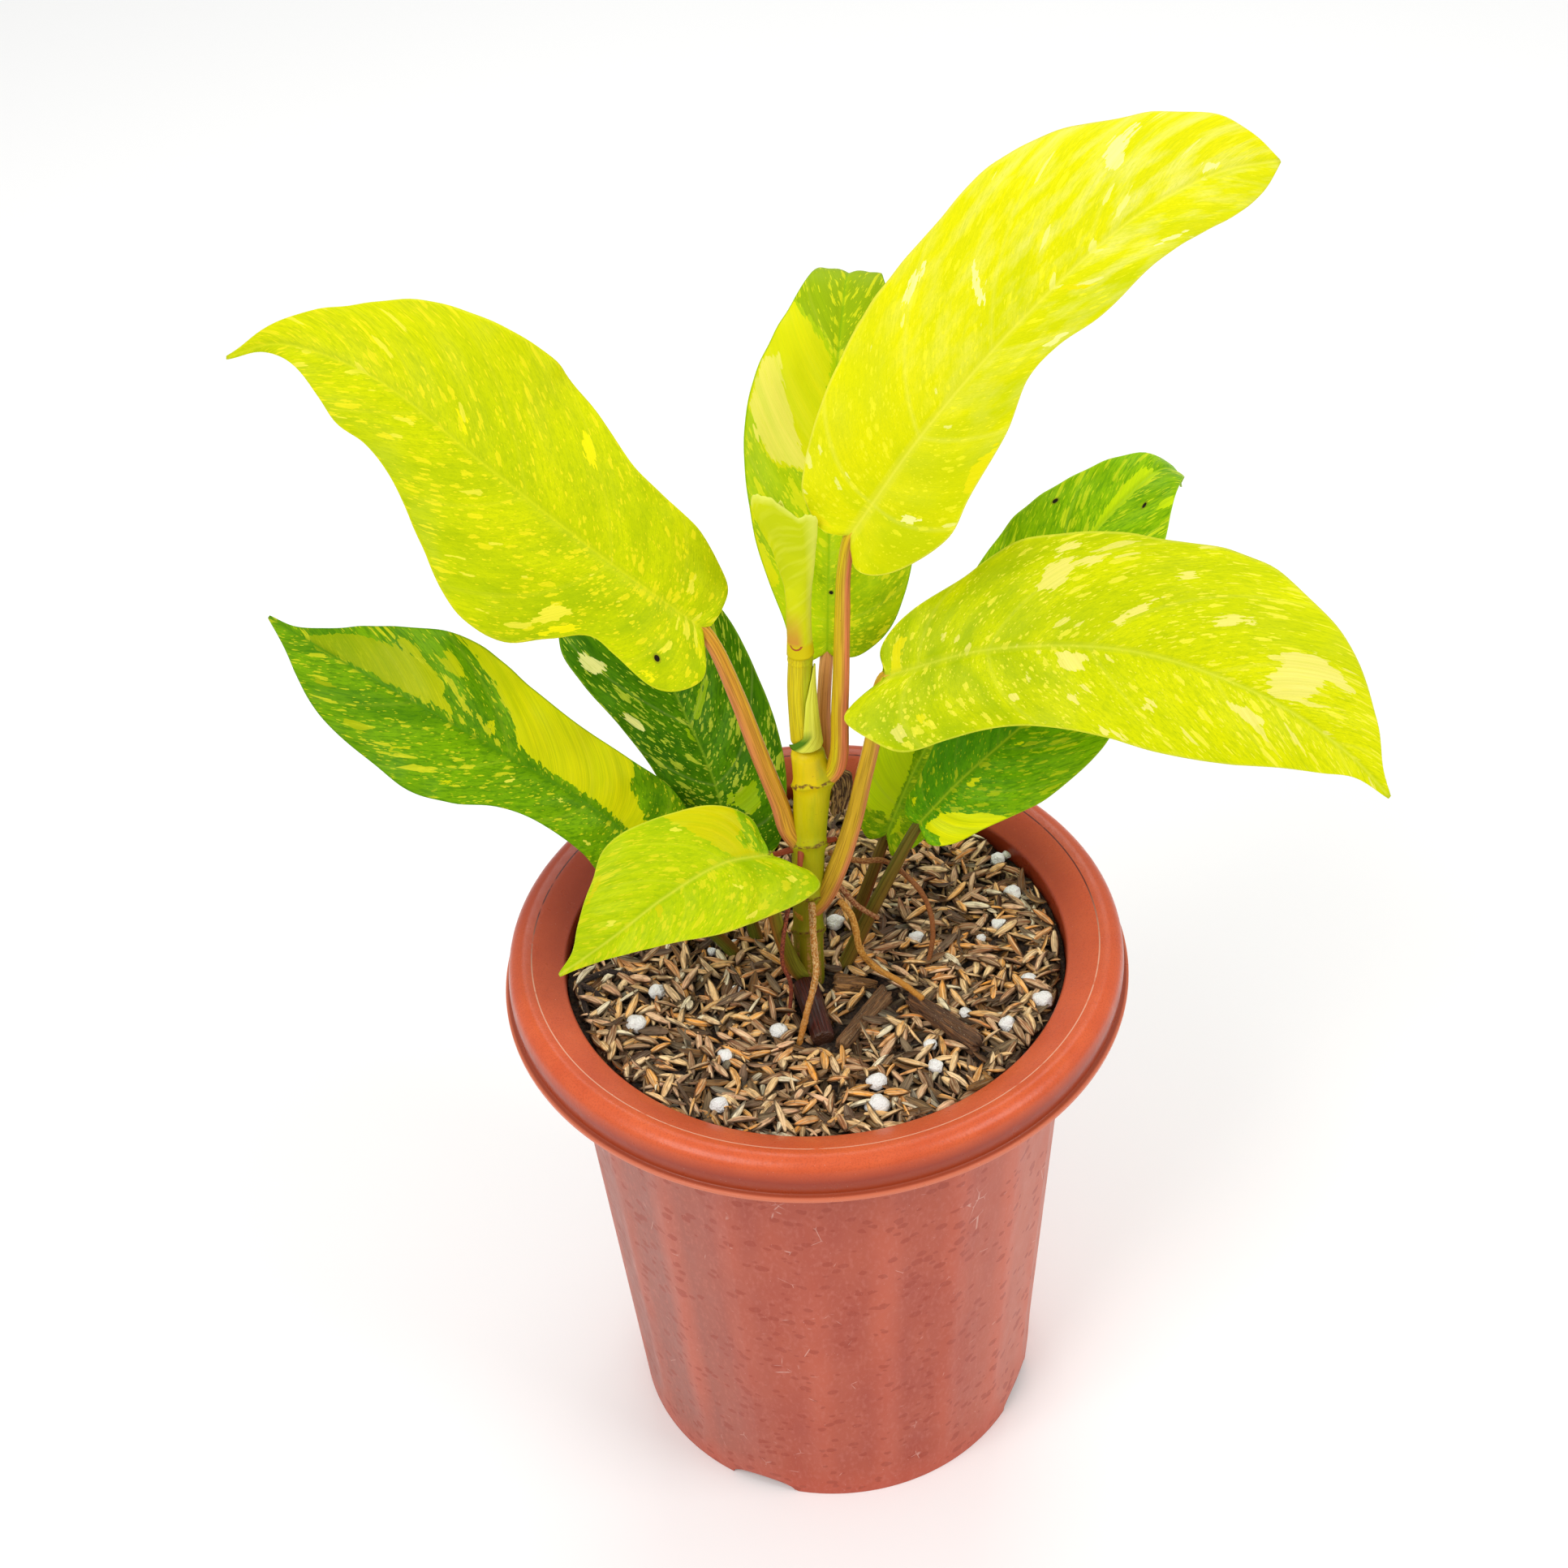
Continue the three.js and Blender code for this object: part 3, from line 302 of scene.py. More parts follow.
def tube(path, radiusAt, sides=20, steps=60, facing=(0, -1, 0), blunt=0.7):
    # ring at share s: centre(s) + radius(s, a) * (cos a * side + sin a * front), rounded off at both ends
    curve = smoothCurve(path)
    share = np.linspace(0, 1, steps)
    share = 0.5 * share + 0.25 * (1 - np.cos(share * math.pi))
    centre, forward = onCurve(curve, share), slopeOf(curve, share)
    side = unit(np.cross(forward, np.array(facing, float)))
    front = np.cross(side, forward)
    angle = np.arange(sides) / sides * 2 * math.pi
    s, a = np.meshgrid(share, angle, indexing="ij")
    radius = radiusAt(s, a)
    length = curve[1][-1]
    reach = np.minimum(s, 1 - s) * length
    rounded = radius.mean() * blunt
    radius = radius * np.sqrt(np.clip(1 - (1 - np.clip(reach / rounded, 0, 1)) ** 2, 0.04, 1))
    points = (centre[:, None] + radius[..., None] * (np.cos(a)[..., None] * side[:, None]
                                                     + np.sin(a)[..., None] * front[:, None]))
    place = np.stack([radius * np.cos(a), radius * np.sin(a), s * length], -1)
    return points, place


def ringAttribute(values):
    # an attribute for closedRings: the grid's values, then those of the two fan middles
    flat = values.reshape(-1, values.shape[-1])
    return np.vstack([flat, values[0].mean(0), values[-1].mean(0)])


def signedVolume(vertices, faces):
    total = 0
    for part in faces:
        for corner in range(1, part.shape[1] - 1):
            a, b, c = (vertices[part[:, k]] for k in (0, corner, corner + 1))
            total += np.einsum("ij,ij->", a, np.cross(b, c))
    return total


def makePiece(name, vertices, faces, finish, replaced=(), attributes=None):
    # faces are turned outward where the volume they close comes out negative
    faces = [np.asarray(part) for part in faces]
    if signedVolume(vertices, faces) < 0:
        faces = [part[:, ::-1] for part in faces]
    mesh = bpy.data.meshes.new(name)
    mesh.from_pydata((vertices * mm).tolist(), [], [face for part in faces for face in part.tolist()])
    for label, values in (attributes or {}).items():
        kind, field = ("FLOAT_VECTOR", "vector") if np.ndim(values) == 2 else ("FLOAT", "value")
        layer = mesh.attributes.new(label, kind, "POINT")
        layer.data.foreach_set(field, np.ravel(values).astype(np.float32))
    mesh.polygons.foreach_set("use_smooth", np.ones(len(mesh.polygons), bool))
    mesh.materials.append(finish)
    mesh.update()
    piece = bpy.data.objects.new(name, mesh)
    bpy.context.collection.objects.link(piece)
    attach(piece, "root")
    if replaced:
        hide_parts(*replaced)
    return piece


# Leaf blades

bladeSet = {
    "rows": 120, "halfColumns": 38, "rowCrowding": 1.3, "rowFan": 1.25, "columnCrowding": 1.35,
    "patchScale": (130, 22),  # about what a full row share and a full share across measure
    "crownWidth": 25, "tipTaper": 0.12,
    "thickness": 0.5, "keel": (1.5, 0.2), "keelWidth": 1.3, "groove": 0.4,
    "veinCount": 11, "lean": (0.5, 1.2), "pillow": 0.45, "flutter": 0.45, "pucker": 0.55,
    "droop": 0.75, "droopFrom": (396, 399.3),
    "flecks": (  # cell and stretch in mm, widest reach and rarity of a fleck in its cell, and its tint
        (0.8, 1.4, 0.24, 0.35, "fleck"), (1.6, 1.5, 0.25, 0.35, "fleck"), (3.2, 1.4, 0.26, 0.3, "fleck"),
        (5.2, 1.6, 0.19, 0.55, "cream")),
    # midrib's half width, how far it pales and how sharp its crease is, by slot
    "ribBand": {"leaf_sunny": (1.4, 0.3, 0.25), "leaf_lime": (1.0, 0.35, 0.45), "leaf_dark": (1.0, 0.3, 0.6)},
}

# What makes a leaf: rib, points of its midrib; face, where its blade looks at its foot and at its tip; fold,
# curl and ripple (height, count, turn), which onBlade explains; left and right, its margins as share of the
# rib's length and reach from it; cream, yellow and dark, outlines as (row share, share across) of cells that
# lost or kept their green; scars, the place and radius of dead spots. Shares across are positive on its left.
# Its look: colours; glowFrom, a start and its change along and across; mosaic, fleckShare and fleckForce, how
# much mottling and flecks show; cloud, how far its tip pales; fade (start, end, most, colour), its dull tip.
leaves = [
    {
        "name": "top_right", "seed": 3, "slot": "leaf_sunny",
        "rib": [(14.5, -6.5, 325), (33.5, 4.5, 346.5), (60.5, 22.5, 367.5), (89.5, 41, 383),
                (113, 55.5, 386.5), (129.5, 63.5, 384.5)],
        "face": [(0.02, -0.76, 0.65), (-0.12, -0.66, 0.74)],
        "fold": 0.1, "curl": 0.12, "ripple": (1.2, 2.2, 0.1),
        "left": [(-0.01, 1.8), (-0.02, 6.5), (0.01, 15.5), (0.04, 18.6), (0.15, 25), (0.29, 30.6),
                 (0.47, 32.4), (0.57, 33.6), (0.66, 32.3), (0.79, 25.1), (0.91, 15.3), (0.97, 7)],
        "right": [(-0.02, 2), (-0.04, 6), (-0.03, 11), (0.01, 16), (0.09, 20.5), (0.16, 19), (0.29, 16),
                  (0.38, 11.2), (0.45, 11), (0.54, 13.5), (0.69, 12.5), (0.87, 11.9), (0.94, 8.2)],
        "look": {"deep": "#c0ca00", "light": "#d8d800", "mottle": "#b6c200", "glow": "#e8e204", "cloud": 0.45,
                 "glowFrom": (0.1, 0.55, 0.35), "mosaic": 0.2, "fleckShare": 0.3,
                 "fleck": "#f2ea28", "fleckForce": 0.5, "rib": "#efe850",
                 "cream": "#f4ee96", "yellow": "#e2d80a"},
        "cream": [[(0.47, 0.78), (0.49, 0.82), (0.535, 0.87), (0.53, 0.82), (0.49, 0.76)],
                  [(0.565, 0.3), (0.572, 0.45), (0.588, 0.58), (0.586, 0.44), (0.576, 0.32)],
                  [(0.78, 0.55), (0.8, 0.72), (0.835, 0.88), (0.83, 0.75), (0.812, 0.62), (0.805, 0.45)],
                  [(0.215, -0.45), (0.235, -0.58), (0.25, -0.6), (0.24, -0.48), (0.225, -0.42)],
                  [(0.575, -0.8), (0.59, -0.93), (0.61, -0.92), (0.605, -0.8)],
                  [(0.775, -0.72), (0.8, -0.85), (0.82, -0.82), (0.79, -0.7)],
                  [(0.9, 0.1), (0.905, 0.22), (0.92, 0.18), (0.915, 0.08)]],
        "yellow": [[(0.665, -0.12), (0.672, -0.3), (0.69, -0.5), (0.685, -0.3), (0.675, -0.12)],
                   [(0.07, 0.6), (0.08, 0.85), (0.12, 1), (0.1, 0.7)],
                   [(0.34, -0.88), (0.38, -0.82), (0.43, -0.95), (0.4, -1), (0.34, -1)]],
    },
    {
        "name": "left", "seed": 5, "slot": "leaf_sunny",
        "rib": [(-24.5, -3.5, 296.5), (-47.5, 2, 315.5), (-75.5, 13.5, 337.5), (-104, 29.5, 356.5),
                (-128, 40.5, 361), (-143.5, 46.5, 354.5)],
        "face": [(0.05, -0.72, 0.69), (-0.05, -0.62, 0.78)],
        "fold": 0.1, "curl": 0.1, "ripple": (1.8, 2.6, 0.3),
        "left": [(-0.01, 1.4), (-0.03, 5), (-0.05, 11), (-0.02, 17.8), (0.02, 20.2), (0.1, 18.7),
                 (0.15, 18.2), (0.2, 24.6), (0.26, 32.5), (0.33, 34.3), (0.39, 31.7), (0.48, 24),
                 (0.56, 18), (0.64, 15.2), (0.71, 14.9), (0.77, 10.6), (0.84, 5), (0.92, 1.6)],
        "right": [(-0.01, 1.6), (-0.01, 6), (0, 12.2), (0.04, 16.5), (0.1, 20.4), (0.19, 21.8),
                  (0.26, 23.1), (0.33, 26.7), (0.4, 29.8), (0.49, 32.3), (0.57, 30.4), (0.68, 25),
                  (0.8, 13.8), (0.9, 5.6), (0.95, 2.3)],
        "look": {"deep": "#a8bc00", "light": "#cbd400", "mottle": "#8fa800", "glow": "#d8d900",
                 "glowFrom": (-0.25, 0.95, -0.3), "mosaic": 0.25, "fleckShare": 0.5,
                 "fleck": "#ecdf18", "fleckForce": 0.75, "rib": "#dfe01c",
                 "cream": "#f0e440", "yellow": "#f2e60a"},
        "cream": [[(0.385, 0.68), (0.4, 0.78), (0.44, 0.82), (0.43, 0.72), (0.425, 0.62), (0.4, 0.62)],
                  [(0.885, 0.1), (0.89, 0.22), (0.9, 0.05), (0.895, -0.1)]],
        "yellow": [[(0.36, 0.82), (0.37, 0.95), (0.42, 0.93), (0.4, 0.84)],
                   [(0.455, -0.62), (0.47, -0.72), (0.485, -0.8), (0.505, -0.77), (0.49, -0.63)],
                   [(0.215, 0.84), (0.22, 0.95), (0.245, 0.93), (0.235, 0.85)],
                   [(0.235, -0.63), (0.245, -0.72), (0.26, -0.7), (0.245, -0.62)],
                   [(0.125, -0.6), (0.13, -0.7), (0.14, -0.66)],
                   [(0.66, -0.1), (0.67, -0.2), (0.685, -0.22)]],
        "scars": [(0.218, 0.665, 0.9)],
    },
    {
        "name": "right", "seed": 8, "slot": "leaf_sunny",
        "rib": [(22, -10, 282.5), (49.5, -11.5, 290.5), (85, -17, 291.5), (118, -25.5, 281),
                (138.5, -32, 267), (150, -37, 255)],
        "face": [(-0.05, -0.66, 0.75), (0.28, -0.72, 0.64)],
        "fold": 0.12, "curl": 0.16, "ripple": (1.4, 2, 0.6),
        "left": [(0, 1.5), (0, 6.5), (0.04, 12.1), (0.11, 16.4), (0.17, 19.5), (0.24, 26.8),
                 (0.34, 29.7), (0.47, 31.1), (0.6, 34), (0.7, 29.3), (0.84, 17.7), (0.95, 4.1)],
        "right": [(-0.01, 1.6), (-0.07, 5), (-0.09, 8.4), (-0.05, 15.5), (0, 20.5), (0.08, 20.4),
                  (0.25, 20.4), (0.43, 23.1), (0.54, 23.7), (0.7, 19.2), (0.86, 8.9), (0.93, 3.2)],
        "look": {"deep": "#a8bc00", "light": "#d0d800", "mottle": "#8fa801", "glow": "#dfe000",
                 "glowFrom": (-0.6, 1.65, 0), "mosaic": 0.25, "fleckShare": 0.42,
                 "fleck": "#f2e840", "fleckForce": 0.7, "rib": "#dfe240",
                 "cream": "#f1e474", "yellow": "#e3da08"},
        "cream": [[(0.435, 0.5), (0.44, 0.66), (0.455, 0.77), (0.475, 0.73), (0.475, 0.6), (0.465, 0.48)],
                  [(0.465, 0.7), (0.49, 0.77), (0.52, 0.79), (0.505, 0.71), (0.48, 0.67)],
                  [(0.445, 0.82), (0.45, 0.9), (0.475, 0.91), (0.475, 0.84), (0.46, 0.81)],
                  [(0.775, 0.45), (0.8, 0.66), (0.83, 0.72), (0.87, 0.78), (0.865, 0.7), (0.835, 0.55),
                   (0.84, 0.35), (0.83, 0.1), (0.82, 0.05), (0.805, 0.02), (0.785, 0.2), (0.79, 0.35)],
                  [(0.49, -0.1), (0.51, -0.28), (0.53, -0.33), (0.545, -0.28), (0.545, -0.1), (0.52, -0.08)],
                  [(0.755, -0.25), (0.78, -0.38), (0.8, -0.44), (0.81, -0.35), (0.79, -0.25)],
                  [(0.56, 0.2), (0.58, 0.35), (0.605, 0.47), (0.6, 0.38), (0.575, 0.2)],
                  [(0.6, 0.62), (0.615, 0.72), (0.635, 0.74), (0.62, 0.64)],
                  [(0.68, 0.4), (0.7, 0.5), (0.73, 0.55), (0.71, 0.45), (0.69, 0.36)],
                  [(0.525, -0.57), (0.535, -0.66), (0.55, -0.68), (0.545, -0.56)],
                  [(0.435, -0.6), (0.44, -0.7), (0.452, -0.68), (0.445, -0.58)],
                  [(0.645, -0.48), (0.65, -0.6), (0.665, -0.58), (0.66, -0.47)],
                  [(0.575, -0.93), (0.6, -0.96), (0.64, -0.94), (0.6, -0.9)]],
        "yellow": [[(0.06, 0), (0.1, 0.4), (0.12, 0.68), (0.165, 0.66), (0.17, 0.58), (0.13, 0.3),
                    (0.12, 0.02)],
                   [(0.26, -0.6), (0.27, -0.68), (0.285, -0.7), (0.28, -0.62)]],
    },
    {
        "name": "back_centre", "seed": 11, "slot": "leaf_lime",
        "rib": [(7.5, 6.5, 279), (9, 17.5, 297), (11, 33.5, 318), (14, 51.5, 337), (16.5, 66, 346.5),
                (18.5, 77.5, 350.8), (20, 84.3, 346), (21, 86.8, 337), (21.5, 87, 328)],
        "face": [(0, -0.86, 0.51), (0, 0.1, 1)],
        "fold": 0.08, "curl": 0.1, "ripple": (1, 2, 0),
        "left": [(-0.01, 1.5), (-0.02, 5), (0.01, 9), (0.07, 12), (0.14, 15.8), (0.22, 19.4), (0.29, 21.2),
                 (0.38, 23), (0.47, 23.1), (0.55, 21.4), (0.63, 17.8), (0.71, 13.7), (0.79, 9.4), (0.87, 6.6),
                 (0.95, 3.2)],
        "right": [(-0.01, 1.5), (-0.01, 7.5), (0.01, 12), (0.05, 16.8), (0.12, 20.2), (0.2, 22.4),
                  (0.32, 24), (0.46, 23.4), (0.58, 20), (0.68, 15.4), (0.77, 10.6), (0.87, 6.6), (0.95, 3.2)],
        "look": {"deep": "#86ae02", "light": "#accb05", "mottle": "#c1d308", "glow": "#d4e106",
                 "glowFrom": (0.0, 0.0, 0.15), "mosaic": 0.5, "fleckShare": 0.6,
                 "fleck": "#dfe01c", "fleckForce": 0.8, "rib": "#7fae08", "dark": "#8eac06",
                 "cream": "#efe55e", "yellow": "#dedd08"},
        "cream": [[(0.52, 0.28), (0.525, 0.45), (0.52, 0.62), (0.55, 0.84), (0.6, 0.96), (0.68, 0.98),
                   (0.69, 0.8), (0.64, 0.6), (0.58, 0.42), (0.55, 0.3)]],
        "yellow": [[(0.515, 0.2), (0.52, 0.45), (0.51, 0.6), (0.54, 0.8), (0.58, 0.9), (0.6, 1.05),
                    (0.79, 1.05), (0.77, 0.75), (0.75, 0.45), (0.74, 0.25), (0.72, 0.1), (0.65, 0.1)],
                   [(0.26, 1.05), (0.28, 0.8), (0.36, 0.9), (0.4, 1.05)],
                   [(0.395, 1.05), (0.41, 0.9), (0.44, 1.05)],
                   [(0.07, 0.15), (0.075, 0.3), (0.09, 0.36)]],
        "dark": [[(0.79, 1.05), (0.77, 0.7), (0.76, 0.4), (0.74, 0.1), (0.72, -0.3), (0.7, -1.05),
                  (1.02, -1.05), (1.02, 1.05)]],
        "scars": [(0.27, -0.04, 0.7)],
    },
    {
        "name": "low_left", "seed": 14, "slot": "leaf_dark",
        "rib": [(-41.5, 2, 212), (-61, 6.5, 231), (-89.5, 15, 249), (-118.5, 29, 261.5),
                (-138, 44.5, 264.5), (-149.5, 56.5, 264)],
        "face": [(0, -0.62, 0.78), (-0.12, -0.6, 0.79)],
        "fold": 0.16, "curl": 0.1, "ripple": (1.4, 2.4, 0.4),
        "left": [(-0.01, 1.5), (-0.05, 5), (-0.04, 10), (0.02, 13.4), (0.09, 13.7), (0.15, 12.2),
                 (0.28, 12), (0.35, 13.8), (0.43, 19), (0.51, 21.9), (0.6, 20.3), (0.69, 18.2),
                 (0.76, 15.2), (0.84, 9.8), (0.92, 4.4)],
        "right": [(-0.01, 1.5), (-0.05, 5), (-0.04, 10), (0.01, 14.8), (0.09, 17.5), (0.17, 16.8),
                  (0.29, 17), (0.4, 19.5), (0.53, 22.8), (0.61, 21.3), (0.68, 17.1), (0.76, 12),
                  (0.84, 5.8), (0.92, 1.6)],
        "look": {"deep": "#568801", "light": "#7caa02", "mottle": "#397101", "glow": "#84b203",
                 "glowFrom": (0.0, 0.0, 0.5), "mosaic": 0.5, "fleckShare": 0.5,
                 "fleck": "#d5d41f", "fleckForce": 0.75, "rib": "#558a06",
                 "cream": "#e4e048", "yellow": "#dad805", "fade": (0.55, 0.86, 0.8, "#7e9a04")},
        "cream": [[(0.325, 0.72), (0.33, 0.79), (0.345, 0.78), (0.34, 0.7)],
                  [(0.515, 0.33), (0.52, 0.47), (0.527, 0.45), (0.522, 0.32)],
                  [(0.415, 0.27), (0.42, 0.35), (0.43, 0.33), (0.425, 0.25)]],
        "yellow": [[(0.1, -0.05), (0.33, -0.1), (0.5, -0.13), (0.54, -0.2), (0.565, -0.45), (0.6, -0.62),
                    (0.65, -0.82), (0.72, -1.05), (0.365, -1.05), (0.34, -0.8), (0.33, -0.62),
                    (0.28, -0.45), (0.24, -0.34), (0.1, -0.3)],
                   [(0.66, -0.1), (0.78, -0.07), (0.86, -0.08), (0.875, 0.05), (0.905, 0.1), (0.915, -0.3),
                    (0.91, -0.55), (0.87, -0.78), (0.83, -0.75), (0.75, -0.62), (0.72, -0.5),
                    (0.69, -0.4), (0.68, -0.2)],
                   [(0.66, -0.55), (0.68, -0.7), (0.705, -0.78), (0.7, -0.6), (0.68, -0.52)],
                   [(0.73, -0.55), (0.75, -0.75), (0.77, -0.85), (0.775, -0.7), (0.76, -0.6)],
                   [(0.59, -0.12), (0.595, -0.3), (0.605, -0.28), (0.602, -0.12)],
                   [(0.68, 0.55), (0.7, 0.75), (0.705, 0.73), (0.69, 0.56)],
                   [(0.74, 0.6), (0.755, 0.78), (0.785, 0.85), (0.775, 0.75), (0.755, 0.65)],
                   [(0.82, 0.45), (0.835, 0.6), (0.86, 0.72), (0.855, 0.62), (0.835, 0.5)],
                   [(0.59, 0.72), (0.6, 0.78), (0.61, 0.74), (0.6, 0.7)]],
    },
    {
        "name": "back_left", "seed": 17, "slot": "leaf_dark",
        "rib": [(-22.5, 14, 203), (-26, 24, 221), (-35, 39, 240), (-45, 55.5, 257.5), (-51, 70.5, 266.5),
                (-55, 81.5, 271)],
        "face": [(0, -0.72, 0.69), (0, -0.72, 0.69)],
        "fold": 0.16, "curl": 0.1, "ripple": (1.2, 1.8, 0.2),
        "left": [(-0.01, 1.5), (-0.04, 6), (-0.01, 12), (0.1, 14.2), (0.2, 14.2), (0.32, 15.2),
                 (0.46, 18.5), (0.6, 22.5), (0.7, 24), (0.8, 20), (0.9, 11), (0.96, 4.4)],
        "right": [(-0.01, 1.5), (-0.04, 6), (-0.01, 13.5), (0.13, 19), (0.26, 22), (0.4, 23.3),
                  (0.6, 22.7), (0.75, 18), (0.88, 10), (0.95, 4.6)],
        "look": {"deep": "#3c6e01", "light": "#5a9002", "mottle": "#275e01", "glow": "#659d04",
                 "glowFrom": (-0.3, 0.7, -0.1), "mosaic": 0.5, "fleckShare": 0.75,
                 "fleck": "#c2d139", "fleckForce": 0.85, "rib": "#87ac1f",
                 "cream": "#fff9a0", "yellow": "#a6c60c"},
        "cream": [[(0.545, 0.7), (0.555, 0.78), (0.59, 0.88), (0.6, 0.78), (0.575, 0.69)],
                  [(0.695, 0.65), (0.7, 0.82), (0.72, 0.87), (0.745, 0.82), (0.73, 0.7), (0.715, 0.6)]],
        "yellow": [[(0.295, -0.1), (0.3, -0.2), (0.335, -0.25), (0.33, -0.13)],
                   [(0.27, -0.45), (0.3, -0.62), (0.36, -0.55), (0.345, -0.4), (0.32, -0.2), (0.3, -0.2)],
                   [(0.545, -0.08), (0.56, -0.2), (0.6, -0.4), (0.62, -0.42), (0.595, -0.25), (0.565, -0.1)],
                   [(0.5, 0.04), (0.51, 0.12), (0.54, 0.07)], [(0.33, 0.5), (0.34, 0.6), (0.35, 0.55)],
                   [(0.41, -0.3), (0.415, -0.38), (0.425, -0.36)]],
    },
    {
        "name": "small_front", "seed": 20, "slot": "leaf_lime",
        "rib": [(-11, -18, 230), (-23.5, -24, 233), (-39, -31, 228.5), (-53.5, -37, 220.5),
                (-63, -37, 212.5), (-69.5, -36, 206.5)],
        "face": [(0.05, -0.6, 0.8), (-0.2, -0.66, 0.72)],
        "fold": 0.14, "curl": 0.12, "ripple": (0.8, 1.6, 0.5),
        "left": [(-0.01, 1.2), (-0.09, 4.2), (-0.15, 6.9), (-0.17, 11), (-0.1, 14), (0.02, 16.2),
                 (0.17, 18), (0.33, 17.1), (0.47, 13.5), (0.59, 9.5), (0.75, 4.4), (0.89, 1.7)],
        "right": [(0, 1.2), (0.01, 5), (0.05, 10.6), (0.16, 15.6), (0.27, 18.2), (0.42, 20.6),
                  (0.53, 20.2), (0.62, 15.9), (0.7, 13), (0.8, 8), (0.9, 3)],
        "look": {"deep": "#9bb802", "light": "#bacb03", "mottle": "#88aa02", "glow": "#c8d402",
                 "glowFrom": (-0.2, 0.8, 0.1), "mosaic": 0.35, "fleckShare": 0.7,
                 "fleck": "#dad41c", "fleckForce": 0.75, "rib": "#d2d63a", "dark": "#79a604",
                 "cream": "#e8e044", "yellow": "#ccc404"},
        "cream": [[(0.24, 0.62), (0.25, 0.72), (0.275, 0.73), (0.27, 0.58)],
                  [(0.42, 0.42), (0.43, 0.5), (0.45, 0.5), (0.44, 0.4)],
                  [(0.41, 0.18), (0.415, 0.27), (0.425, 0.25), (0.42, 0.17)],
                  [(0.44, 0.87), (0.47, 0.93), (0.52, 0.91), (0.48, 0.85)],
                  [(0.76, -0.22), (0.77, -0.36), (0.79, -0.34), (0.78, -0.2)],
                  [(0.43, -0.68), (0.44, -0.78), (0.47, -0.82), (0.45, -0.7)]],
        "yellow": [[(0.1, -0.03), (0.3, -0.02), (0.33, -0.1), (0.37, -0.3), (0.4, -0.5), (0.43, -0.85),
                    (0.47, -1.05), (0.27, -1.05), (0.26, -0.8), (0.25, -0.65), (0.28, -0.4),
                    (0.25, -0.2), (0.15, -0.08)],
                   [(0.64, 0.02), (0.655, 0.2), (0.685, 0.35), (0.68, 0.2), (0.66, 0.05)],
                   [(0.67, -0.88), (0.7, -0.94), (0.79, -0.93), (0.75, -0.86)]],
        "dark": [[(0, -0.1), (0.2, -0.15), (0.26, -0.3), (0.25, -0.6), (0.26, -1.05), (0, -1.05)]],
    },
    {
        "name": "back_right", "seed": 23, "slot": "leaf_dark",
        "rib": [(22, 16, 204.5), (34, 27, 226), (54, 38.5, 250), (77, 53.5, 269), (93.5, 67, 280),
                (104.5, 76, 283.5), (110.5, 82, 279), (113, 85, 272)],
        "face": [(-0.05, -0.72, 0.69), (-0.1, -0.3, 0.95)],
        "fold": 0.14, "curl": 0.1, "ripple": (1.2, 2, 0.7),
        "left": [(-0.01, 1.5), (-0.02, 4), (0, 8), (0.07, 12), (0.18, 14), (0.31, 16), (0.48, 18.6),
                 (0.56, 20.5), (0.63, 21), (0.7, 19.2), (0.77, 15.2), (0.84, 11), (0.9, 6.4), (0.96, 2.8)],
        "right": [(-0.01, 1.5), (-0.03, 4), (0, 8.5), (0.09, 14), (0.22, 19), (0.45, 22), (0.62, 21.5),
                  (0.71, 19.7), (0.77, 17.2), (0.83, 12.4), (0.89, 7.4), (0.96, 2.6)],
        "look": {"deep": "#82ac01", "light": "#a2ca04", "mottle": "#4b8d01", "glow": "#97d205",
                 "glowFrom": (-0.2, 0.5, 0.0), "mosaic": 0.5, "fleckShare": 0.6,
                 "fleck": "#d9e620", "fleckForce": 0.7, "rib": "#b1d420",
                 "cream": "#d6dc6a", "yellow": "#d1eb09"},
        "yellow": [[(0.11, 0.12), (0.15, 0.3), (0.15, 0.65), (0.16, 0.8), (0.3, 0.9), (0.36, 0.3),
                    (0.33, 0.15), (0.26, 0.06)],
                   [(0.78, 0.02), (0.83, 0.15), (0.88, 0.28), (0.905, 0.4), (0.92, 0.15), (0.92, -0.18),
                    (0.88, -0.08)],
                   [(0.855, -0.7), (0.865, -0.95), (0.885, -1.05), (0.875, -0.75)],
                   [(0.06, -0.2), (0.1, -0.3), (0.12, -0.4), (0.14, -0.25), (0.16, -0.14)]],
        "scars": [(0.775, 0.79, 0.7), (0.86, -0.45, 0.7)],
    },
    {
        "name": "low_right", "seed": 26, "slot": "leaf_dark",
        "rib": [(30.5, 2.3, 220), (42, 5.3, 232), (58, 11, 244), (75, 19.5, 253.3), (87, 28.6, 255.2),
                (94.5, 35.2, 254.7)],
        "face": [(0, -0.66, 0.75), (0.1, -0.66, 0.75)],
        "fold": 0.14, "curl": 0.1, "ripple": (1.1, 1.8, 0.1),
        "left": [(-0.01, 1.4), (-0.01, 4), (0.04, 7.3), (0.09, 8), (0.18, 10.4), (0.3, 15), (0.45, 18),
                 (0.6, 17.5), (0.75, 13), (0.88, 7), (0.95, 3)],
        "right": [(-0.01, 1.6), (-0.02, 6), (0.04, 10.8), (0.16, 14.3), (0.29, 17.7), (0.38, 19.5),
                  (0.6, 19.3), (0.7, 17), (0.82, 11), (0.92, 5)],
        "look": {"deep": "#509402", "light": "#73b403", "mottle": "#3f7f01", "glow": "#9eca04",
                 "glowFrom": (-0.2, 0.4, -0.5), "mosaic": 0.5, "fleckShare": 0.55,
                 "fleck": "#cfda19", "fleckForce": 0.6, "rib": "#a6c31a",
                 "cream": "#c9d458", "yellow": "#eff302"},
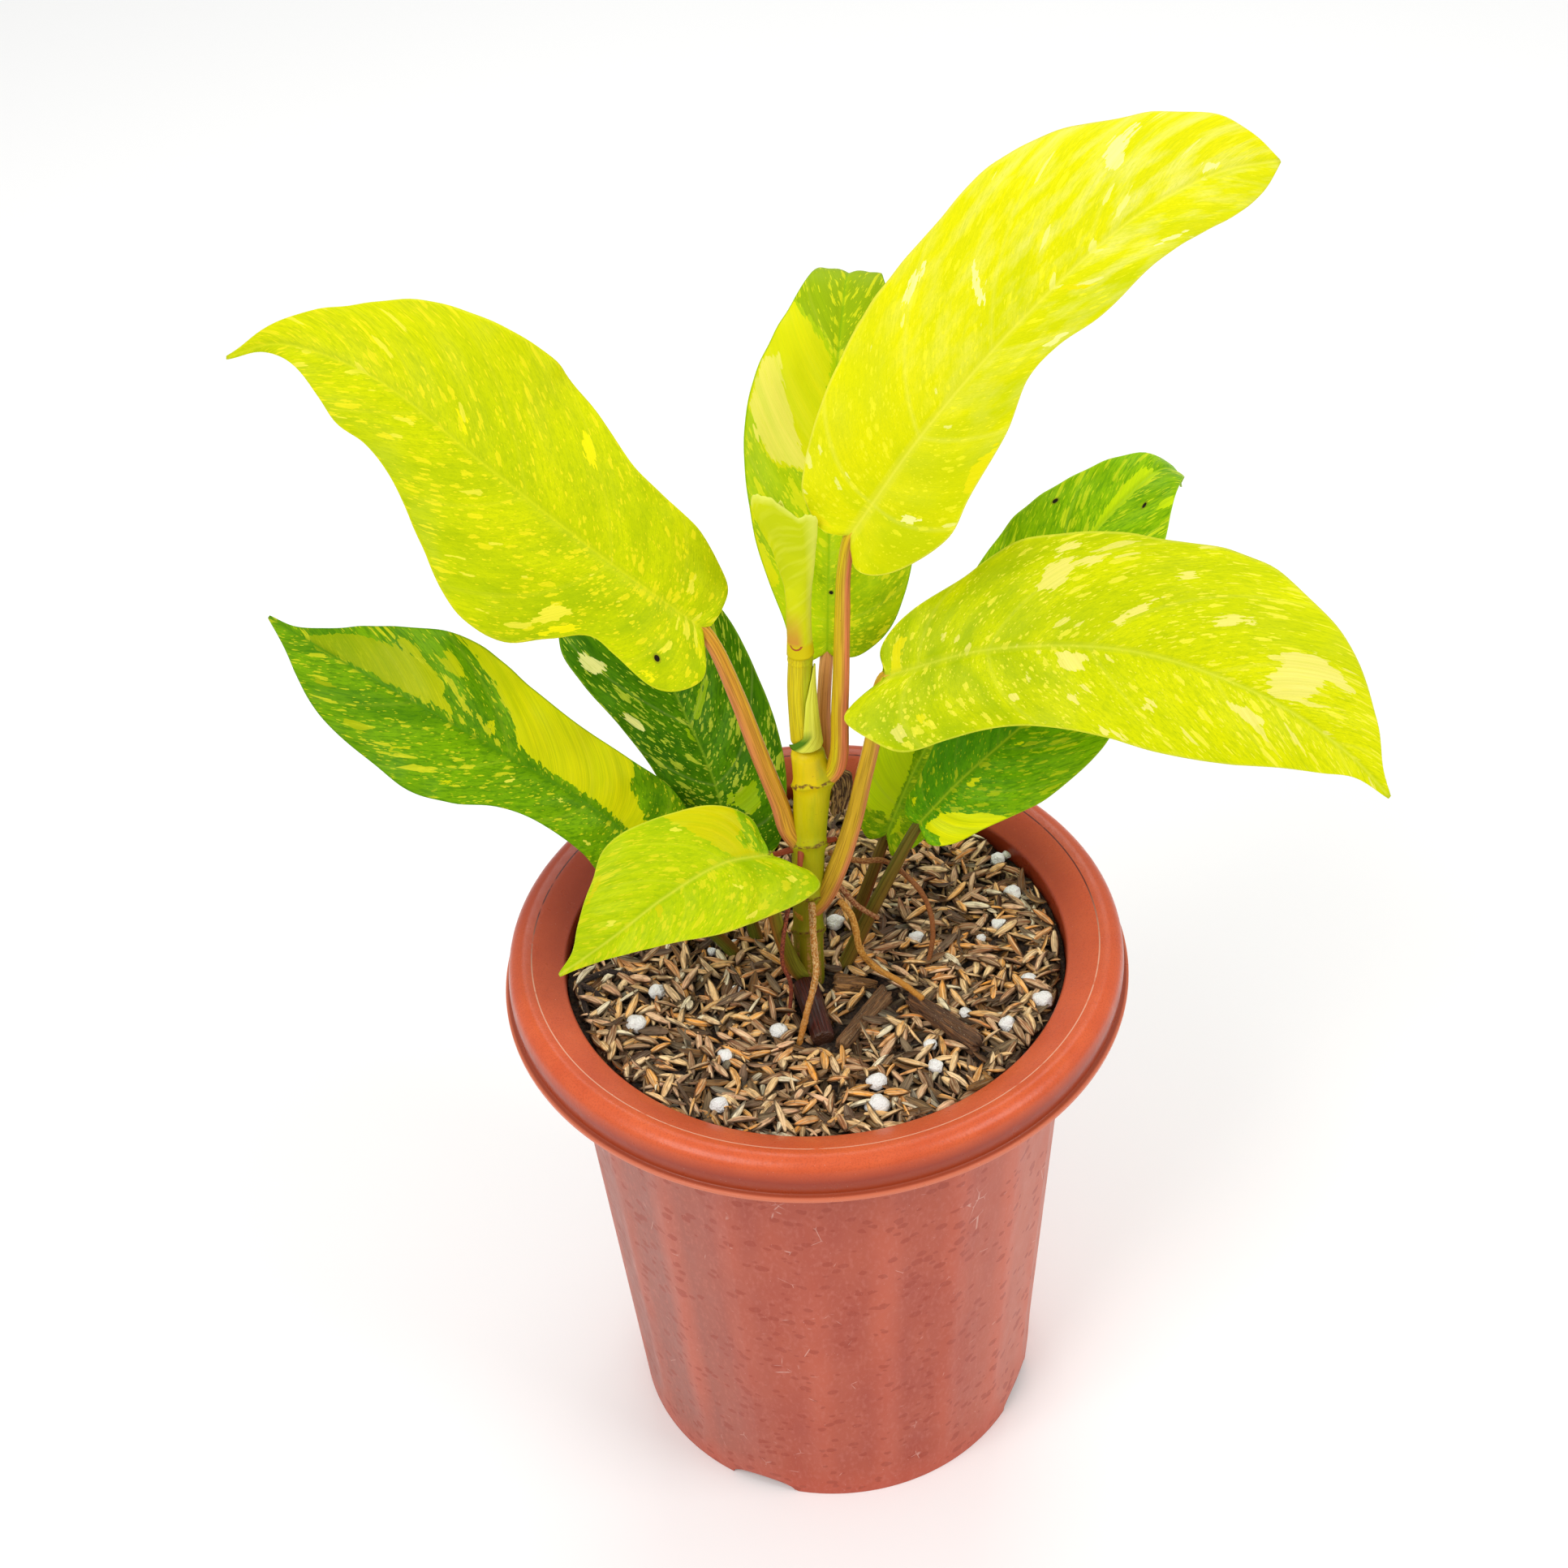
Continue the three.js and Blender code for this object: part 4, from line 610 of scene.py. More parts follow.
        "yellow": [[(0.12, -0.2), (0.18, -0.22), (0.23, -0.22), (0.3, -0.5), (0.37, -0.8), (0.42, -1.05),
                    (0.14, -1.05), (0.16, -0.7), (0.1, -0.35)],
                   [(0.38, -0.15), (0.42, -0.1), (0.44, -0.18), (0.4, -0.22)],
                   [(0.58, -0.12), (0.59, -0.2), (0.605, -0.17)], [(0.15, 0.6), (0.16, 0.8), (0.2, 0.7)],
                   [(0.23, 0.45), (0.24, 0.55), (0.26, 0.5)]],
    },
]


def onBlade(leaf, share, y):
    # rib point + left * y + up * (fold |y| - curl y^2 / crown + ripple * (y / crown)^2), where the ripple is
    # height * sin(2 pi (count share + turn side)) and the crown is the width that both are given for
    curve = smoothCurve(leaf["rib"])
    held = np.clip(share, 0, 1)
    forward = slopeOf(curve, held)
    face = np.array(leaf["face"], float)
    look = face[0] * (1 - held[..., None]) + face[1] * held[..., None]
    left = unit(np.cross(look, forward))
    up = np.cross(forward, left)
    height, count, turn = leaf["ripple"]
    wave = np.sin(2 * math.pi * (count * share + turn * np.sign(y)))
    crown = bladeSet["crownWidth"]
    rise = leaf["fold"] * np.abs(y) - leaf["curl"] * y * y / crown + height * wave * (y / crown) ** 2
    place = onCurve(curve, held) + forward * ((share - held) * curve[1][-1])[..., None]
    return place + left * y[..., None] + up * rise[..., None]


def bladePlace(leaf, row, across):
    # a row leaves the rib at row^(crowding fan) and meets the margin at the arc share row^crowding
    length = smoothCurve(leaf["rib"])[1][-1]
    share, y = np.zeros(row.shape), np.zeros(row.shape)
    arc = row ** bladeSet["rowCrowding"]
    ribShare = arc ** bladeSet["rowFan"]
    for side, key in ((1, "left"), (-1, "right")):
        margin = smoothCurve([(place * length, reach) for place, reach in leaf[key]] + [(length, 0.5)])
        edge = onCurve(margin, arc)
        there = (across >= 0) if side == 1 else (across < 0)
        away = np.abs(across)
        share = np.where(there, ribShare + (edge[..., 0] / length - ribShare) * away, share)
        y = np.where(there, side * edge[..., 1] * away, y)
    return share, y, length


def patchDepth(spots, outlines):
    # depth inside the nearest outline, negative outside: distance to the nearest edge, signed by crossings
    depth = np.full(len(spots), -9.0)
    for outline in outlines:
        a = np.array(outline, float) * bladeSet["patchScale"]
        b = np.roll(a, -1, axis=0)
        edge = b - a
        away = spots[:, None] - a
        share = np.clip((away * edge).sum(-1) / (edge ** 2).sum(-1), 0, 1)
        distance = np.linalg.norm(away - share[..., None] * edge, axis=-1).min(1)
        above = (a[:, 1] > spots[:, 1:2]) != (b[:, 1] > spots[:, 1:2])
        slope = np.where(edge[:, 1] == 0, 1, edge[:, 1])
        crossing = a[:, 0] + (spots[:, 1:2] - a[:, 1]) * edge[:, 0] / slope
        inside = (above & (spots[:, 0:1] < crossing)).sum(1) % 2 == 1
        depth = np.maximum(depth, np.where(inside, distance, -distance))
    return np.clip(depth, -6, 6)


def makeBlade(leaf):
    rows, half = bladeSet["rows"], bladeSet["halfColumns"]
    across = np.linspace(-1, 1, 2 * half + 1)
    across = np.sign(across) * np.abs(across) ** bladeSet["columnCrowding"]
    row, across = np.meshgrid(np.linspace(0, 1, rows + 1), across, indexing="ij")
    share, y, length = bladePlace(leaf, row, across)
    middle = onBlade(leaf, share, y)
    normal = gridNormals(middle)
    if (normal[rows // 2, half] * np.mean(leaf["face"], axis=0)).sum() < 0:
        normal = -normal
    away = np.abs(across)
    taper = ramp(1 - row, 0, bladeSet["tipTaper"])
    lean = bladeSet["lean"][0] + (bladeSet["lean"][1] - bladeSet["lean"][0]) * row
    lane = row * length - lean * np.abs(y) * (0.7 + 0.4 * away)  # one value along each side vein
    veins = np.sin(math.pi * bladeSet["veinCount"] * lane / length) ** 2 * 4 * away * (1 - away)
    plane = np.stack([share * length, y], -1)
    relief = bladeSet["pillow"] * veins * taper
    relief += bladeSet["pucker"] * softNoise(plane, 26, leaf["seed"]) * away * taper
    relief += bladeSet["flutter"] * away ** 4 * softNoise(plane, 13, leaf["seed"] + 50) * taper
    middle = middle + normal * relief[..., None]
    middle[..., 2] -= bladeSet["droop"] * ramp(middle[..., 2], *bladeSet["droopFrom"])
    body = 0.5 * bladeSet["thickness"] * (1 - 0.75 * away ** 5)
    rib = np.exp(-(y / bladeSet["keelWidth"]) ** 2)
    keel = np.interp(row, [0, 1], bladeSet["keel"]) * rib
    groove = bladeSet["groove"] * rib * (1 - 0.6 * row)
    upper = middle + normal * (body - groove)[..., None]
    lower = middle - normal * (body + keel)[..., None]
    vertices, faces = closedSheet(upper, lower)
    shares = np.stack([row, across], -1)
    spots = shares.reshape(-1, 2) * bladeSet["patchScale"]
    depths = {tone: sheetAttribute(patchDepth(spots, leaf.get(tone, ())).reshape(row.shape))
              for tone in ("cream", "yellow", "dark")}
    under = np.concatenate([np.zeros_like(row), np.ones_like(row)], 1).ravel()
    veinPlace = sheetAttribute(np.stack([lane, y, np.full_like(row, leaf["seed"] * 7.0)], -1))
    bladeShare = np.column_stack([sheetAttribute(shares), under])
    makePiece(f"blade_{leaf['name']}", vertices, faces, bladeSkin(leaf),
              [f"leaf_{leaf['name']}"], {"veinPlace": veinPlace, "bladeShare": bladeShare, **depths})


def bladeSkin(leaf):
    # Variegated aroid leaf: a waxy cuticle over green, lime, yellow and cream cells. It reads as satin,
    # with streaks along the side veins, a paler midrib and a fine pale margin.
    look = leaf["look"]
    finish, tree, shader, place = newFinish(f"waxy_variegated_blade_{leaf['name']}", 0.4, "veinPlace",
                                            IOR=1.42, Specular_IOR_Level=0.08)
    shares = addNode(tree, "Attribute", attribute_name="bladeShare").outputs["Vector"]
    row, across, under = addNode(tree, "SeparateXYZ", {0: shares}).outputs
    colour = cellColour(tree, look, place, row, across)
    colour, calm = sectorColour(tree, leaf, place, row, colour)
    colour = fleckColour(tree, leaf, place, calm, colour)
    fine = streaks(tree, place, (0.34, 20, 1), 0.35, 0.65, 0.2)
    colour = veinColour(tree, leaf, place, row, across, fine, colour)
    for atRow, atAcross, radius in leaf.get("scars", ()):
        # dead spot: black core in a dull ring
        long, wide = bladeSet["patchScale"]
        spot = addNode(tree, "VectorMath", {0: shares, 1: (long, wide, 0.0)}, operation="MULTIPLY")
        gap = addNode(tree, "VectorMath", {0: spot, 1: (atRow * long, atAcross * wide, 0.0)},
                      operation="DISTANCE").outputs["Value"]
        ring = addNode(tree, "MapRange", {"Value": gap, "From Min": radius * 1.5, "From Max": radius * 1.3,
                                          "To Max": 0.5})
        core = addNode(tree, "MapRange", {"Value": gap, "From Min": radius, "From Max": radius * 0.8})
        colour = paint(tree, colour, ("#7c7a10", ring), ("#1c1608", core))
    backFace = addNode(tree, "Math", {0: under, 1: 0.5}, operation="MULTIPLY")
    colour = paint(tree, colour, (look["light"], backFace))
    gloss = streaks(tree, place, (5, 9, 5), 0.3, 0.7, 0.12)
    gloss = addNode(tree, "Math", {0: gloss, 1: 0.34}, operation="ADD")
    tree.links.new(gloss.outputs[0], shader.inputs["Roughness"])
    ridges = addNode(tree, "Bump", {"Height": fine, "Strength": 0.3, "Distance": 0.0003})
    cells = streaks(tree, place, (0.5, 0.8, 1), 0.3, 0.7, detail=3.0)
    dress(tree, shader, colour, cells, 0.25, 0.00008, ridges)
    return finish


def cellColour(tree, look, place, row, across):
    # the green of the cells: deep and light clouds, a glow towards one end or side, and fine mottling
    start, along, sideways = look["glowFrom"]
    glow = addNode(tree, "Math", {0: row, 1: along, 2: start}, operation="MULTIPLY_ADD")
    glow = addNode(tree, "Math", {0: across, 1: sideways, 2: glow}, operation="MULTIPLY_ADD")
    glow = addNode(tree, "Math", {0: glow, 1: streaks(tree, place, (16, 24, 16), 0.2, 0.8, 0.6)},
                   operation="ADD")
    glow = addNode(tree, "Math", {0: glow, 1: 0.3}, operation="SUBTRACT", use_clamp=True)
    tip = addNode(tree, "MapRange", {"Value": row, "From Min": 0.35, "From Max": 0.8,
                                     "To Max": look.get("cloud", 0.0)})
    cloud = streaks(tree, place, (8, 4.5, 5), 0.45, 0.7, 1.0, 3.0)
    cloud = addNode(tree, "Math", {0: cloud, 1: tip}, operation="MULTIPLY")
    return paint(tree, look["deep"],
                 (look["light"], streaks(tree, place, (9, 15, 9), 0.36, 0.64)),
                 (look["glow"], glow), (look["cream"], cloud),
                 (look["mottle"], streaks(tree, place, (1.1, 1.7, 1), 0.48, 0.62, look["mosaic"])),
                 (look["mottle"], streaks(tree, place, (0.45, 0.45, 1), 0.5, 0.7, 0.3)))


def sectorColour(tree, leaf, place, row, colour):
    # whole sectors of one colour with ragged edges; calm is the mask of the yellow and cream ones
    look = leaf["look"]
    rough = streaks(tree, place, (1.3, 2.4, 1), 0.25, 0.75, 2.2, 4.0)
    calm = 0.0
    for tone in ("dark", "yellow", "cream"):
        if tone not in leaf:
            continue
        depth = addNode(tree, "Attribute", attribute_name=tone).outputs["Fac"]
        ragged = addNode(tree, "Math", {0: depth, 1: rough}, operation="ADD")
        inside = addNode(tree, "MapRange", {"Value": ragged, "From Min": 1.05, "From Max": 1.16})
        tint = paint(tree, look[tone], (look["light"], streaks(tree, place, (2.6, 11, 2), 0.35, 0.7, 0.25)))
        if "fade" in look and tone == "yellow":
            start, end, most, towards = look["fade"]
            fade = addNode(tree, "MapRange", {"Value": row, "From Min": start, "From Max": end,
                                              "To Max": most})
            tint = paint(tree, tint, (towards, fade))
        colour = paint(tree, colour, (tint, inside))
        if tone != "dark":
            calm = addNode(tree, "Math", {0: inside, 1: calm}, operation="MAXIMUM")
    return colour, calm


def fleckColour(tree, leaf, place, calm, colour):
    # a fleck sits in some of the cells of a Voronoi pattern, with a ragged edge, and few show in calm sectors
    look = leaf["look"]
    patchy = streaks(tree, place, (13, 17, 13), 0.35, 0.65, 0.25 * look["fleckShare"])
    for number, (cell, stretch, reach, rarity, tint) in enumerate(bladeSet["flecks"]):
        spread = addNode(tree, "Mapping", {"Vector": place, "Location": (9.1 * number, leaf["seed"], 0),
                                           "Scale": (1 / cell, 1 / cell / stretch, 1)})
        blots = addNode(tree, "TexVoronoi", {"Vector": spread, "Scale": 1.0}, voronoi_dimensions="2D")
        chance = addNode(tree, "SeparateXYZ", {0: blots.outputs["Color"]}).outputs[0]
        inside = addNode(tree, "MapRange", {"Value": chance, "From Min": rarity, "To Min": -0.3,
                                            "To Max": reach})
        ragged = addNode(tree, "TexNoise", {"Vector": spread, "Scale": 3.5, "Detail": 3.0})
        for part, weight in ((blots.outputs["Distance"], -1.0), (ragged, 0.7), (patchy, 1.0)):
            inside = addNode(tree, "Math", {0: part, 1: weight, 2: inside}, operation="MULTIPLY_ADD")
        fleck = addNode(tree, "MapRange", {"Value": inside, "From Min": 0.35, "From Max": 0.38,
                                           "To Max": look["fleckForce"]})
        exposed = addNode(tree, "Math", {0: calm, 1: -0.8, 2: 1.0}, operation="MULTIPLY_ADD")
        fleck = addNode(tree, "Math", {0: fleck, 1: exposed}, operation="MULTIPLY")
        colour = paint(tree, colour, (look[tint if leaf["slot"] == "leaf_sunny" else "fleck"], fleck))
    return colour


def veinColour(tree, leaf, place, row, across, fine, colour):
    # side veins, the fine lines between them, the midrib with its crease, and the margin
    look = leaf["look"]
    lane, aside, _ = addNode(tree, "SeparateXYZ", {0: place}).outputs
    spacing = smoothCurve(leaf["rib"])[1][-1] / bladeSet["veinCount"]
    phase = addNode(tree, "Math", {0: lane, 1: float(spacing)}, operation="DIVIDE")
    gap = addNode(tree, "Math", {0: phase, 1: 1.0}, operation="PINGPONG")
    sideVein = addNode(tree, "MapRange", {"Value": gap, "From Min": 0.08, "From Max": 0.0, "To Max": 0.08})
    middle = addNode(tree, "Math", {0: aside}, operation="ABSOLUTE")
    wide, soft, sharp = bladeSet["ribBand"][leaf["slot"]]
    ribHalf = addNode(tree, "Math", {0: row, 1: -wide, 2: 1.5 * wide}, operation="MULTIPLY_ADD")
    ribShare = addNode(tree, "Math", {0: middle, 1: ribHalf}, operation="DIVIDE")
    rib = addNode(tree, "MapRange", {"Value": ribShare, "From Min": 1.0, "From Max": 0.2, "To Max": soft})
    beside = addNode(tree, "MapRange", {"Value": middle, "From Min": 1.3, "From Max": 0.6, "To Max": 0.22})
    crease = addNode(tree, "MapRange", {"Value": middle, "From Min": 0.42, "From Max": 0.15, "To Max": sharp})
    away = addNode(tree, "Math", {0: across}, operation="ABSOLUTE")
    edge = addNode(tree, "MapRange", {"Value": away, "From Min": 0.972, "From Max": 0.99, "To Max": 0.55})
    return paint(tree, colour, (look["cream"], sideVein), (look["mottle"], fine), (look["rib"], rib),
                 (look["mottle"], beside), (look["rib"], crease), (look["rib"], edge))


# Petioles, stem and roots

stalkSet = {"sides": 28, "steps": 80, "groove": 0.1, "flare": 0.16, "sink": 4, "underRib": 0.025}
oliveRind = ("#5f7a1e", "#6e6a22", "#7a4a22", (0.5, 1.6), "#3c4a12", "#5a4a1e")
stalks = {  # path and radii of the solid, then the rind: base, other, flush, where it starts, fibre and foot
    "top_right": {"path": [(4.4, -6.5, 245.6), (8.2, -7, 250.4), (10.1, -6.9, 272.5), (11.6, -6.8, 299.7),
                           (12.5, -6.6, 314.3)], "radii": [2.8, 2.4, 2.2, 2, 1.7], "slot": "petiole_red",
                  "rind": ("#d2c010", "#d4aa20", "#dc6e54", (-0.7, 0.8), "#9a661a", "#e0cc24")},
    "left": {"path": [(-2, -6.8, 223), (-5.4, -7, 228.6), (-7.6, -6.3, 238.4), (-12.1, -5.6, 255.3),
                      (-16.5, -4.9, 273.1), (-21.8, -4.2, 290.9)], "radii": [2.9, 2.5, 2.4, 2.2, 1.9],
             "slot": "petiole_red",
             "rind": ("#dfa832", "#c98a2a", "#da8058", (0.2, -1.8), "#8c5a18", "#b8ac20")},
    "right": {"path": [(-1, -7, 199), (2.5, -7.2, 202.8), (7.5, -7.6, 214.7), (12.5, -8.1, 232.5),
                       (15.5, -8.8, 247.4), (18, -9.5, 259.6)], "radii": [3.2, 2.8, 2.4, 2.2, 1.9],
              "slot": "petiole_red",
              "rind": ("#dcb232", "#cca428", "#e28560", (0.0, 1.7), "#906a1c", "#c4822e")},
    "back_centre": {"path": [(2, -3.5, 238), (4.6, -1.2, 244), (5.7, 0.9, 253.8), (5.8, 2.8, 262.1),
                             (6.7, 4.6, 273)], "radii": [2.3, 2, 1.9, 1.8], "slot": "petiole_red",
                    "rind": ("#efb06a", "#d89458", "#f0a684", (0.2, 1.6), "#a06234", "#d0a848")},
    "low_left": {"path": [(-20.5, 5, 163), (-23.5, 4.5, 172), (-30.7, 3.2, 185.3), (-38, 2.4, 203)],
                 "radii": [2, 1.9, 1.8, 1.6], "slot": "petiole_green", "rind": oliveRind},
    "back_left": {"path": [(-14, 7, 163), (-16.5, 9, 172), (-20, 11.5, 190)], "radii": [2, 1.9, 1.8, 1.6],
                  "slot": "petiole_green", "rind": oliveRind},
    "small_front": {"path": [(-2, -7.5, 172.5), (-5.6, -10.4, 179), (-8.4, -12.4, 190), (-10.6, -15, 203.9),
                             (-11.2, -17.2, 219)], "radii": [2.6, 2.3, 2, 1.7, 1.5], "slot": "petiole_green",
                    "rind": ("#8a8a26", "#7c7420", "#a5642c", (0.2, -1.4), "#4f4a14", "#7f9a22")},
    "back_right": {"path": [(8.6, 11.6, 163), (11, 12.3, 172), (16.8, 14, 189)], "radii": [2, 1.9, 1.8, 1.6],
                   "slot": "petiole_red",
                   "rind": ("#7a6626", "#6c5420", "#8c4428", (0.2, 1.5), "#45300f", "#5c6420")},
    "low_right": {"path": [(3.6, -4.6, 164), (8.1, -3, 172), (19.4, 0.6, 196.4)],
                  "radii": [2.2, 2.1, 1.9, 1.6], "slot": "petiole_green",
                  "rind": ("#6d6a20", "#7a5e24", "#8a5a30", (0.6, 1.8), "#3e3a10", "#4f6a1c")},
}


def stalkSkin(name, base, other, flush, flushFrom, fibre, foot):
    # Petiole rind: smooth waxy skin over lengthwise fibres, so it shines in a long thin line and is streaked
    finish, tree, shader, place = newFinish(name, 0.36, "stalkPlace", IOR=1.42, Specular_IOR_Level=0.15)
    side, _, along = addNode(tree, "SeparateXYZ", {0: place}).outputs
    waver = streaks(tree, place, (4, 4, 30), 0.3, 0.7, 0.8)
    turned = addNode(tree, "Math", {0: side, 1: waver}, operation="ADD")
    flushed = addNode(tree, "MapRange", {"Value": turned, "From Min": flushFrom[0] + 0.4,
                                         "From Max": flushFrom[1] + 0.4, "To Max": 0.85})
    fine = streaks(tree, place, (0.32, 0.32, 26), 0.47, 0.6, 0.52)
    low = addNode(tree, "MapRange", {"Value": along, "From Min": 10.0, "From Max": 2.0, "To Max": 0.7})
    colour = paint(tree, base, (other, streaks(tree, place, (1.3, 1.3, 45), 0.42, 0.58, 0.8)),
                   (flush, flushed), (foot, low), (fibre, fine),
                   (fibre, streaks(tree, place, (0.5, 0.5, 1.1), 0.72, 0.76, 0.55)))
    dress(tree, shader, colour, fine, 0.5, 0.0002)
    return finish


def makeTubes(name, tubes, finish, replaced):
    vertices, faces = joined([closedRings(points) for points, _ in tubes])
    places = np.vstack([ringAttribute(place) for _, place in tubes])
    makePiece(name, vertices, faces, finish, replaced, {"stalkPlace": places})


def makeStalk(leaf):
    # it starts inside the stem and runs on from its solid's end, thinning under the midrib
    stalk = stalks[leaf["name"]]
    root, tip, left, right = (onBlade(leaf, np.array([share]), np.array([y]))[0]
                              for share, y in ((0, 0), (stalkSet["underRib"], 0), (0, 1), (0, -1)))
    forward = slopeOf(smoothCurve(leaf["rib"]), np.array([0.0]))[0]
    up = np.cross(forward, unit(left - right))
    last = stalk["radii"][-1]
    first, second = (np.array(spot, float) for spot in stalk["path"][:2])
    sunk = first + unit(first - second) * stalkSet["sink"]
    path = [sunk, *stalk["path"], root - up * last - forward * 0.3, tip - up * (last + 0.3)]
    lengths = [smoothCurve(part)[1][-1] for part in (path[:-1], path)]
    solidEnd = lengths[0] / lengths[1]

    def radiusAt(s, a):
        radius = between(stalk["radii"], s / solidEnd)
        radius = radius + (0.6 * last - radius) * ramp(s, solidEnd, 1)
        radius = radius * (1 + stalkSet["flare"] * np.exp(-(s * lengths[1] / 5) ** 2))
        ridges = 1 + 0.012 * np.cos(9 * a) + 0.01 * np.cos(14 * a + 2)
        return radius * ridges * (1 - stalkSet["groove"] * np.exp(-((a - math.pi / 2) / 0.45) ** 2))

    finish = stalkSkin(f"petiole_rind_{leaf['name']}", *stalk["rind"])
    makeTubes(f"stalk_{leaf['name']}", [tube(path, radiusAt, stalkSet["sides"], stalkSet["steps"])],
              finish, [f"petiole_{leaf['name']}"])


stemSet = {
    "path": [(-1.9, -6.5, 158), (-1.9, -6.5, 172), (-1.7, -6.2, 188.7), (-0.3, -6, 220.8), (1.5, -5.8, 244),
             (0.6, -5.6, 257.4)],
    "radii": [4.4, 4.2, 4.2, 4.4, 4.7, 5, 4.5],
    "nodes": [190.4, 203.3, 222.7, 244.1], "tilt": (0.1, 0.58), "swell": 0.55, "tornEdge": 0.35,
    "shoulder": (246.5, 3.6, 1.5),  # height, half width and rise of the side that bears the top petiole
    "rootBumps": (173, 188, 0.28),  # lowest and highest, and how far they stand out
    "pegs": [[(-2, -7, 222.4), (-11, -8.6, 221)], [(-2, -8, 225), (-3, -13, 220)],
             [(2, -6, 223), (7.8, -5, 222.8)]],
    "pegShift": 100,  # sets the pegs apart for the rind's colour
    "sides": 50, "steps": 190,
    "tones": ((0.0, "#7d6414"), (0.2, "#8f8218"), (0.36, "#98961a"), (0.4, "#aaa610"), (0.57, "#aeae0e"),
              (0.62, "#bcb806"), (0.78, "#cebf06"), (0.84, "#e0c408"), (1.0, "#e2c80c")),
}


def makeStem():
    # tapering rod with a swollen, tilted ring and a thin torn edge at each node, and short root pegs
    curve = smoothCurve(stemSet["path"])
    leanSide, leanFront = stemSet["tilt"]
    shoulder, shoulderHalf, shoulderRise = stemSet["shoulder"]
    lowest, highest, stand = stemSet["rootBumps"]

    def radiusAt(s, a):
        z = onCurve(curve, s)[..., 2]
        radius = between(stemSet["radii"], s)
        spots = np.stack([3 * np.cos(a), 3 * np.sin(a), z * 0.35], -1)
        for number, height in enumerate(stemSet["nodes"]):
            bent = height + 0.5 * softNoise(spots, 6, 60 + number)
            bent = bent + radius * (leanSide * np.cos(a) + leanFront * np.sin(a))
            radius = radius + stemSet["swell"] * np.exp(-((z - bent) / 1.8) ** 2)
            radius = radius + stemSet["tornEdge"] * np.exp(-((z - bent) / 0.32) ** 2)
        beside = np.exp(-((z - shoulder) / shoulderHalf) ** 2)
        radius = radius + shoulderRise * beside * np.clip(np.cos(a), 0, 1) ** 2
        # root bumps in rows on the lowest internode
        rows = np.maximum(0, np.sin(z * 2 * math.pi / 1.3 + 2 * np.cos(5 * a)))
        rows = np.maximum(0, np.cos(8 * a)) ** 4 * rows
        radius = radius + stand * rows * ramp(z, lowest, lowest + 2) * ramp(-z, -highest, 2 - highest)
        return radius + 0.06 * softNoise(spots, 4, 71)

    def pegRadius(s, a):
        return (1.05 - 0.35 * s) * (1 + 0.08 * np.sin(9 * a + 40 * s))

    tubes = [tube(stemSet["path"], radiusAt, stemSet["sides"], stemSet["steps"])]
    for ends in stemSet["pegs"]:
        points, place = tube(ends, pegRadius, 16, 30, (0, 0, 1))
        place[..., 0] += stemSet["pegShift"]
        tubes.append((points, place))
    makeTubes("stem_rind", tubes, stemSkin(), ["stem"])


